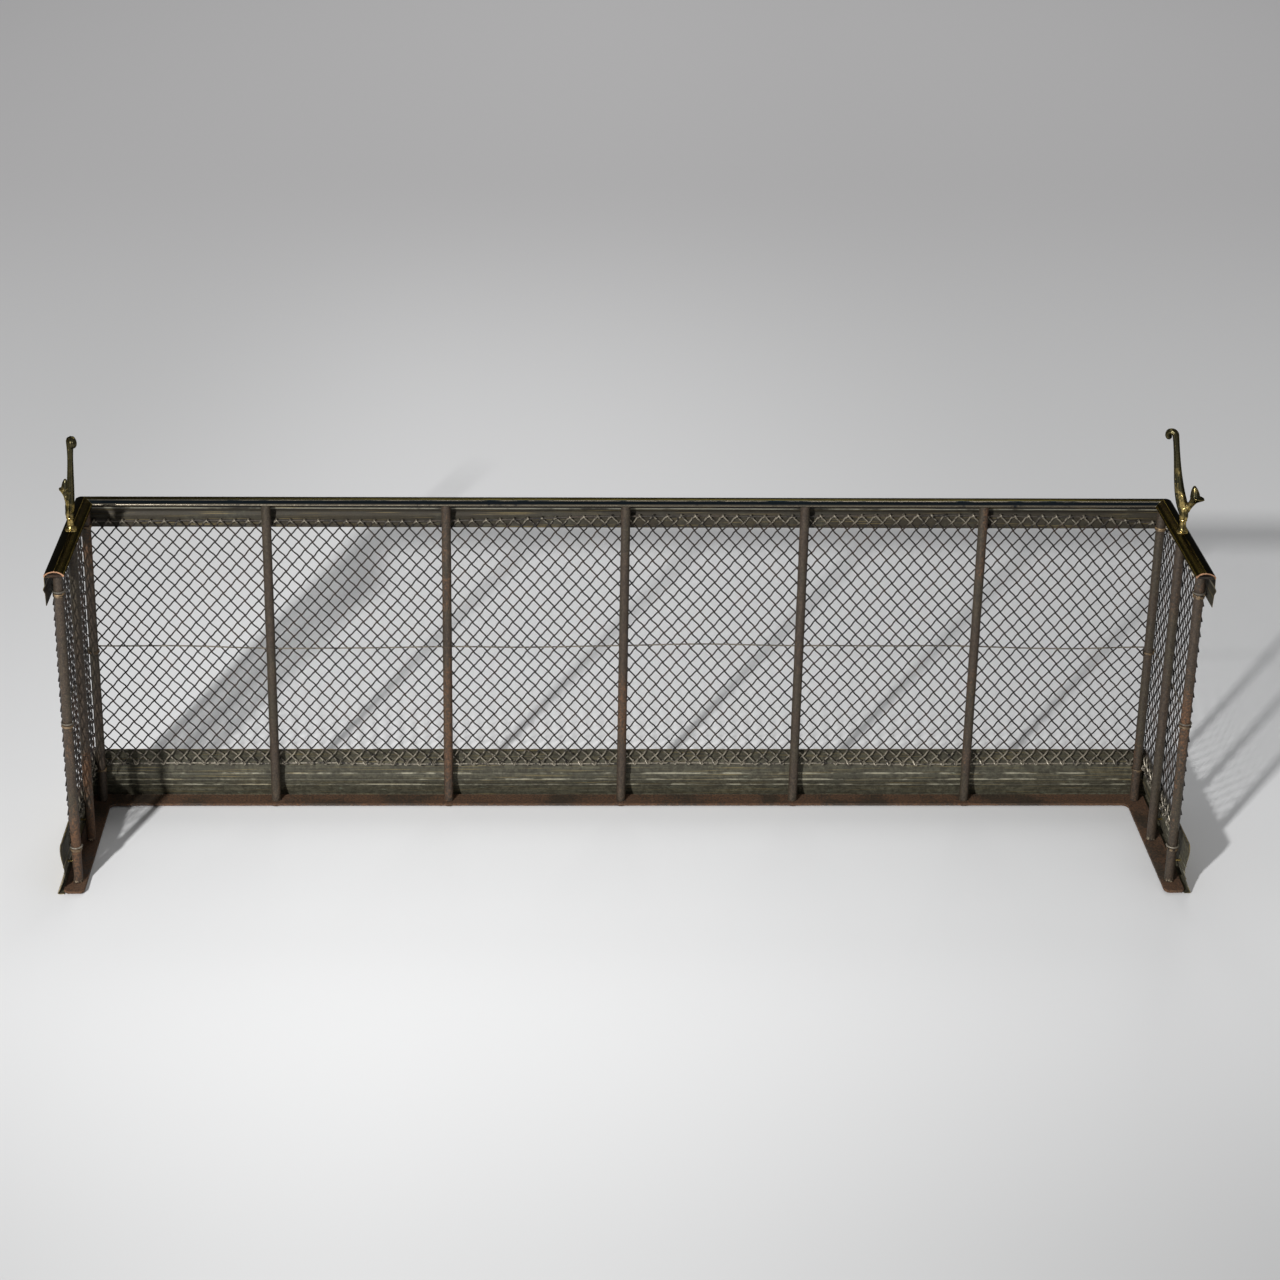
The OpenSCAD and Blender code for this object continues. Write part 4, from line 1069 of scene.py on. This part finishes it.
class FENDER_OT_top_bars(FenderOperator, bpy.types.Operator):
    """Gives the iron bars inside the rail their finish, darkened as painted shade"""
    bl_idname = "fender.top_bars"
    bl_label = "Iron bars"

    def execute(self, context):
        # depth=0.35 paints the shade that the rail casts on the bars
        finish = rusted_iron("rusted_bar_iron", 0.6, depth=0.35)
        for word in ("front", "left", "right"):
            dress(f"{word}_top_bar", finish)
        return {"FINISHED"}


def dress(node, finish):
    """Gives a node of the frame a finish in its own material slots."""
    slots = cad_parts[node].data.materials
    slots.clear()
    slots.append(finish)


class FENDER_OT_rails(FenderOperator, bpy.types.Operator):
    """Makes the brass rail in its three mitred lengths"""
    bl_idname = "fender.rails"
    bl_label = "Rail"

    def execute(self, context):
        shade = colours()
        # Each band places the crown's painted highlight: a light line on the front, the bead's line on the
        # sides
        front = rail_brass("dark_front_rail_brass", shade["front_rail"], 0.25, 0.0, (-0.0046, 0.0004, 0.85))
        side = rail_brass("dark_side_rail_brass", shade["rail"], 1.0, 1.0, (0.00025, 0.0002, 0.25))
        three_runs("rail", rail_outline(), sizes()["dent"] * 0.3, RAIL_LOW[1], (front, side), rail_corner)
        return {"FINISHED"}


class FENDER_OT_friezes(FenderOperator, bpy.types.Operator):
    """Makes the brass frieze under the rail in its three lengths"""
    bl_idname = "fender.friezes"
    bl_label = "Frieze"

    def execute(self, context):
        finish = finish_named("aged_sheet_brass", sheet_brass)
        three_runs("frieze", frieze_outline(), sizes()["dent"], FRIEZE_LOW[1], (finish, finish))
        return {"FINISHED"}


class FENDER_OT_skirts(FenderOperator, bpy.types.Operator):
    """Makes the brass skirt at the foot in its three lengths, with its three reeds"""
    bl_idname = "fender.skirts"
    bl_label = "Skirt"

    def execute(self, context):
        finish = finish_named("aged_sheet_brass", sheet_brass)
        outline = sheet_outline(skirt_line(), SHEET_T)
        three_runs("skirt", outline, sizes()["dent"], SKIRT_LOW[1], (finish, finish))
        return {"FINISHED"}


def rivet_profile():
    """Profile (r, z) of a frieze rivet, head down: a low dome and its shank."""
    flange = BAR_Z - SHEET_T
    dome = arc((0, flange), 1, -87, 0, 9) - [0, flange]
    head = columns(1.8 * dome[:, 0], flange + dome[:, 1])
    return np.concatenate([head, [[1.0, flange], [1.0, BAR_HIGH[2] - 0.1]]])


class FENDER_OT_rivets(FenderOperator, bpy.types.Operator):
    """Makes the round-headed rivets that hold the frieze to the iron bars"""
    bl_idname = "fender.rivets"
    bl_label = "Frieze rivets"

    def execute(self, context):
        shell = Shell()
        reach = POST_R + 2.0
        places = [((k - FRONT_POSTS / 2) * POST_PITCH, POST_Y + reach) for k in range(FRONT_POSTS + 1)]
        places += [(side * (HALF_SPAN + reach), END_Y + share * (POST_Y - END_Y))
                   for side in (-1, 1) for share in (0.25, 0.75)]
        for place in places:
            shell.skin(turned(rivet_profile(), place, 20))
        finish = finish_named("worn_cast_brass", cast_brass)
        finished("frieze_rivets_brass", shell, finish, ["frieze_rivets"])
        return {"FINISHED"}


SCREW_DOME = 1.4


def screw_rings(head_at):
    """Slotted round head of a skirt screw along +Y, cut across into rings, each the chord of a low dome; the
    rings inside the slot stand lower."""
    radius, slot_half, slot_deep = 2.3, 0.35, 0.8
    stops = np.array([0.151, 0.153, 0.35, 0.6, 0.85, 0.985]) * radius
    stops = np.concatenate([-stops[::-1], stops])[:, None]
    z = np.sqrt(radius ** 2 - stops ** 2) * np.linspace(-1, 1, 13)
    rise = SCREW_DOME * np.sqrt(np.clip(1 - (stops ** 2 + z ** 2) / (1.04 * radius) ** 2, 0, 1))
    rise = np.where(abs(stops) < slot_half, np.minimum(rise, SCREW_DOME - slot_deep), rise)
    return np.concatenate([columns(stops, head_at + rise, z), columns(stops, head_at, z)[:, ::-1]], 1)


def spin(points, angle, a, b):
    """Points turned by an angle from axis a towards axis b."""
    spun = points.copy()
    spun[..., a] = points[..., a] * math.cos(angle) - points[..., b] * math.sin(angle)
    spun[..., b] = points[..., a] * math.sin(angle) + points[..., b] * math.cos(angle)
    return spun


class FENDER_OT_screws(FenderOperator, bpy.types.Operator):
    """Makes the slotted screws that hold the skirt to the posts"""
    bl_idname = "fender.screws"
    bl_label = "Skirt screws"

    def execute(self, context):
        shell = Shell()
        low, high = corners("skirt_screws")
        head_at = high[0] - HALF_SPAN - SCREW_DOME
        spots = [(side * HALF_SPAN, y, side) for side in (-1, 1) for y in (END_Y, SIDE_Y)]
        spots += [((k - FRONT_POSTS // 2) * POST_PITCH, POST_Y, 0) for k in range(FRONT_POSTS)]
        shank = columns(0, np.linspace(POST_R / 2, head_at + 0.2, 6), 0)
        for number, (x, y, side) in enumerate(spots):
            for rings in (screw_rings(head_at), tube(shank, 1.25, UP, 16)):
                rings = spin(spin(rings, 0.7 * number, 0, 2), -side * math.pi / 2, 0, 1)
                shell.skin(rings + np.array([x, y, (low[2] + high[2]) / 2]))
        finish = finish_named("worn_cast_brass", cast_brass)
        finished("skirt_screws_brass", shell, finish, ["skirt_screws"])
        return {"FINISHED"}


class FENDER_OT_wires(FenderOperator, bpy.types.Operator):
    """Makes the three long wires that carry the netting, each bent by hand round the posts"""
    bl_idname = "fender.wires"
    bl_label = "Border wires"

    def execute(self, context):
        levels = {"bottom_border_wire": (NET_LOW[2], WIRE_R, 0.6), "middle_wire": (MID_WIRE_Z, 0.8, 0.45),
                  "top_border_wire": (NET_HIGH[2], WIRE_R, 0.1)}
        for level, (name, (height, radius, bare)) in enumerate(levels.items()):
            shell = Shell().skin(tube(wire_path(height, level), radius, UP, 10))
            finish = weathered_wire("weathered_" + name, whole=bare, ends=0.25)
            finished(name + "_drawn", shell, finish, [name])
        return {"FINISHED"}


class FENDER_OT_ties(FenderOperator, bpy.types.Operator):
    """Winds the soft wire ties round the corner and end posts"""
    bl_idname = "fender.ties"
    bl_label = "Post ties"

    def execute(self, context):
        # high paints a highlight on the ties at the frieze
        finish = weathered_wire("soft_tie_wire", whole=0.25, high=0.8, metal=(0.62, 0.42, 0.22))
        thickness = sizes()["tie"]
        for word, side in SIDES:
            shell = Shell()
            for y in (POST_Y, END_Y):
                for level, height in enumerate((NET_LOW[2], MID_WIRE_Z, NET_HIGH[2])):
                    under = height - WIRE_R - 0.4 - thickness / 2
                    path = tie_path(side * HALF_SPAN, y, under, 2.4 + 0.3 * level, thickness)
                    shell.skin(tube(path, thickness / 2, UP, 8))
            finished(f"{word}_post_ties_wound", shell, finish, [f"{word}_post_ties"])
        return {"FINISHED"}


class FENDER_OT_netting(FenderOperator, bpy.types.Operator):
    """Weaves the diamond netting of the front and of both sides, one piece for each way the strands lean"""
    bl_idname = "fender.netting"
    bl_label = "Netting"

    def execute(self, context):
        # low and high paint highlights on the strands in front of the skirt and at the frieze
        finish = weathered_wire("weathered_netting", low=0.85, high=0.8)

        def on_front(rings):
            return rings + [0, POST_Y, 0]

        def on_side(side):
            def place(rings):
                """Along the side, drawn in by a smooth step towards the end post that it is tied to."""
                near = np.clip((END_Y + 16 - rings[..., 0]) / 13, 0, 1)
                out = rings[..., 1] - 1.4 * near * near * (3 - 2 * near)
                return columns(side * (HALF_SPAN + out), rings[..., 0], rings[..., 2])
            return place

        width = NET_HIGH[0] - NET_LOW[0]
        panels = {"front": Netting(NET_LOW[0], width, on_front, sag)}
        start = END_Y + 3
        for word, side in SIDES:
            panels[word] = Netting(start, SIDE_NET_HIGH[1] - start, on_side(side))
        for word, panel in panels.items():
            for way, lean in (("rising", 1), ("falling", -1)):
                finished(f"{word}_netting_{way}", panel.family(lean), finish, [f"{word}_netting"])
        return {"FINISHED"}


def saddle_rings():
    """Saddle on the rail's crown, turned by angle a: a closed section from the spigot hole over the flat top
    and down to the arch below, whose height at x is axis + sqrt(R*R - x*x)."""
    top, outer, hole, seat, sides = REST_Z - 0.1, 6.0, BORE_R, 0.06, 48
    angle = np.arange(sides)[:, None] * TURN / sides
    reach = np.array([hole, outer - 0.8, outer - 0.4, outer - 0.1, outer,
                      outer, outer - 1.5, hole + 1, hole])
    upper = [top, top, top - 0.08, top - 0.3, top - 0.6]
    x = reach * np.cos(angle)
    below = x[:, len(upper):] - RAIL_MID
    arch = RAIL_CROWN - RAIL_ARCH_R + np.sqrt((RAIL_ARCH_R + seat) ** 2 - below ** 2)
    height = np.concatenate([np.broadcast_to(upper, (sides, len(upper))), arch], 1)
    return columns(x, reach * np.sin(angle), height)


class FENDER_OT_saddles(FenderOperator, bpy.types.Operator):
    """Makes the two saddles that the rests stand on"""
    bl_idname = "fender.saddles"
    bl_label = "Saddles"

    def execute(self, context):
        for word, side in SIDES:
            rings = saddle_rings() * [side, 1, 1] + np.array([side * HALF_SPAN, SIDE_Y, 0])
            finished(f"{word}_rest_saddle_brass", Shell().skin(rings, loop=True),
                     finish_named("worn_cast_brass", cast_brass), [f"{word}_rest_saddle"])
        return {"FINISHED"}


class FENDER_OT_rests(FenderOperator, bpy.types.Operator):
    """Casts the two rests for fire irons"""
    bl_idname = "fender.rests"
    bl_label = "Fire iron rests"
    left_turn: bpy.props.FloatProperty(name="Left turn", description="Where the left bud points, from +X",
                                       default=math.radians(118), subtype="ANGLE", unit="ROTATION")
    right_turn: bpy.props.FloatProperty(name="Right turn", description="Where the right bud points, from +X",
                                        default=math.radians(-33), subtype="ANGLE", unit="ROTATION")

    def execute(self, context):
        finish = finish_named("worn_cast_brass", cast_brass)
        make_rest("left", -1, math.degrees(self.left_turn), finish)
        make_rest("right", 1, math.degrees(self.right_turn), finish)
        return {"FINISHED"}


# Camera of the photograph, in metres and degrees, in the fender's own frame
CAMERA_AT = (-0.108718, -2.546165, 1.509088)
CAMERA_PITCH, CAMERA_YAW, CAMERA_ROLL = 20.891735, 1.225243, 0.602017
CAMERA_LENS, CAMERA_SENSOR = 72.492, 36.0
CAMERA_SHIFT = (0.046875, -0.1875)


def camera_matrix():
    """The camera looks along its yaw, tipped down by its pitch, and is rolled about that line."""
    pitch, yaw, roll = (math.radians(a) for a in (CAMERA_PITCH, CAMERA_YAW, CAMERA_ROLL))
    ahead = Vector((math.sin(yaw) * math.cos(pitch), math.cos(yaw) * math.cos(pitch), -math.sin(pitch)))
    level = Vector((math.cos(yaw), -math.sin(yaw), 0))
    up = level.cross(ahead)
    right = math.cos(roll) * level + math.sin(roll) * up
    top = -math.sin(roll) * level + math.cos(roll) * up
    turn = Matrix((right, top, -ahead)).transposed()
    return Matrix.Translation(CAMERA_AT) @ turn.to_4x4()


def add_lamp(name, place, target, width, power):
    """A square soft lamp that faces a target."""
    data = bpy.data.lights.new(name, "AREA")
    data.shape = "SQUARE"
    data.size = width
    data.energy = power
    lamp = bpy.data.objects.new(name, data)
    bpy.context.scene.collection.objects.link(lamp)
    lamp.location = place
    lamp.rotation_euler = (Vector(target) - Vector(place)).to_track_quat("-Z", "Y").to_euler()


def studio_world():
    """Plain surroundings: pale where the camera sees them, dimmer as light and in mirror-like surfaces."""
    world = bpy.data.worlds.new("studio")
    bpy.context.scene.world = world
    world.use_nodes = True
    tree = world.node_tree
    tree.nodes.clear()
    rays = tree.nodes.new("ShaderNodeLightPath")
    strength = tree.nodes.new("ShaderNodeMapRange")
    strength.inputs["To Min"].default_value = 0.21
    strength.inputs["To Max"].default_value = 0.62
    tree.links.new(rays.outputs["Is Camera Ray"], strength.inputs["Value"])
    sky = tree.nodes.new("ShaderNodeBackground")
    sky.inputs["Color"].default_value = (0.97, 0.985, 1.0, 1)
    tree.links.new(strength.outputs["Result"], sky.inputs["Strength"])
    out = tree.nodes.new("ShaderNodeOutputWorld")
    tree.links.new(sky.outputs[0], out.inputs["Surface"])


class FENDER_OT_stage(FenderOperator, bpy.types.Operator):
    """Sets the floor, the lamps, the surroundings and the camera"""
    bl_idname = "fender.stage"
    bl_label = "Stage"

    def execute(self, context):
        scene = bpy.context.scene
        sides, radius, drop = 96, 11, 0.0002
        angle = np.arange(sides) * TURN / sides
        mesh = bpy.data.meshes.new("studio_floor")
        ring = columns(radius * np.cos(angle), radius * np.sin(angle), -drop)
        mesh.from_pydata(ring.tolist(), [], [list(range(sides))])
        mesh.materials.append(studio_floor())
        floor = bpy.data.objects.new("studio_floor", mesh)
        scene.collection.objects.link(floor)
        add_lamp("key", (-1.80, -3.44, 2.04), (0, 0, 0.2), 0.16, 206)
        add_lamp("fill", (2.4, -1.6, 2.6), (0, 0, 0.2), 2.0, 4)
        add_lamp("back", (0.6, 5.0, 4.6), (0, 2.8, 0), 3.0, 84)
        studio_world()
        camera = bpy.data.objects.new("camera", bpy.data.cameras.new("camera"))
        scene.collection.objects.link(camera)
        scene.camera = camera
        camera.data.lens, camera.data.sensor_width = CAMERA_LENS, CAMERA_SENSOR
        camera.data.shift_x, camera.data.shift_y = CAMERA_SHIFT
        camera.data.clip_end = 100
        camera.matrix_world = camera_matrix()
        scene.view_settings.view_transform = "Standard"
        return {"FINISHED"}


class FENDER_PT_sidebar(bpy.types.Panel):
    """The fender's sizes, colours and pieces in the sidebar"""
    bl_label = "Fire fender"
    bl_idname = "FENDER_PT_sidebar"
    bl_space_type = "VIEW_3D"
    bl_region_type = "UI"
    bl_category = "Fender"

    def draw(self, context):
        for group in (context.scene.fender_sizes, context.scene.fender_colours):
            box = self.layout.box()
            for name in group.__annotations__:
                box.prop(group, name)
        for operator in OPERATORS:
            self.layout.operator(operator.bl_idname)


OPERATORS = (FENDER_OT_stage, FENDER_OT_base_plate, FENDER_OT_posts, FENDER_OT_top_bars, FENDER_OT_rails,
             FENDER_OT_friezes, FENDER_OT_rivets, FENDER_OT_skirts, FENDER_OT_screws, FENDER_OT_wires,
             FENDER_OT_ties, FENDER_OT_netting, FENDER_OT_saddles, FENDER_OT_rests)
CLASSES = (FenderSizes, FenderColours, *OPERATORS, FENDER_PT_sidebar)


def register():
    for kind in CLASSES:
        bpy.utils.register_class(kind)
    bpy.types.Scene.fender_sizes = bpy.props.PointerProperty(type=FenderSizes)
    bpy.types.Scene.fender_colours = bpy.props.PointerProperty(type=FenderColours)


def unregister():
    del bpy.types.Scene.fender_colours
    del bpy.types.Scene.fender_sizes
    for kind in reversed(CLASSES):
        bpy.utils.unregister_class(kind)


def main():
    """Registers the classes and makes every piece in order."""
    register()
    for operator in OPERATORS:
        group, name = operator.bl_idname.split(".")
        getattr(getattr(bpy.ops, group), name)()


if __name__ == "__main__":
    main()
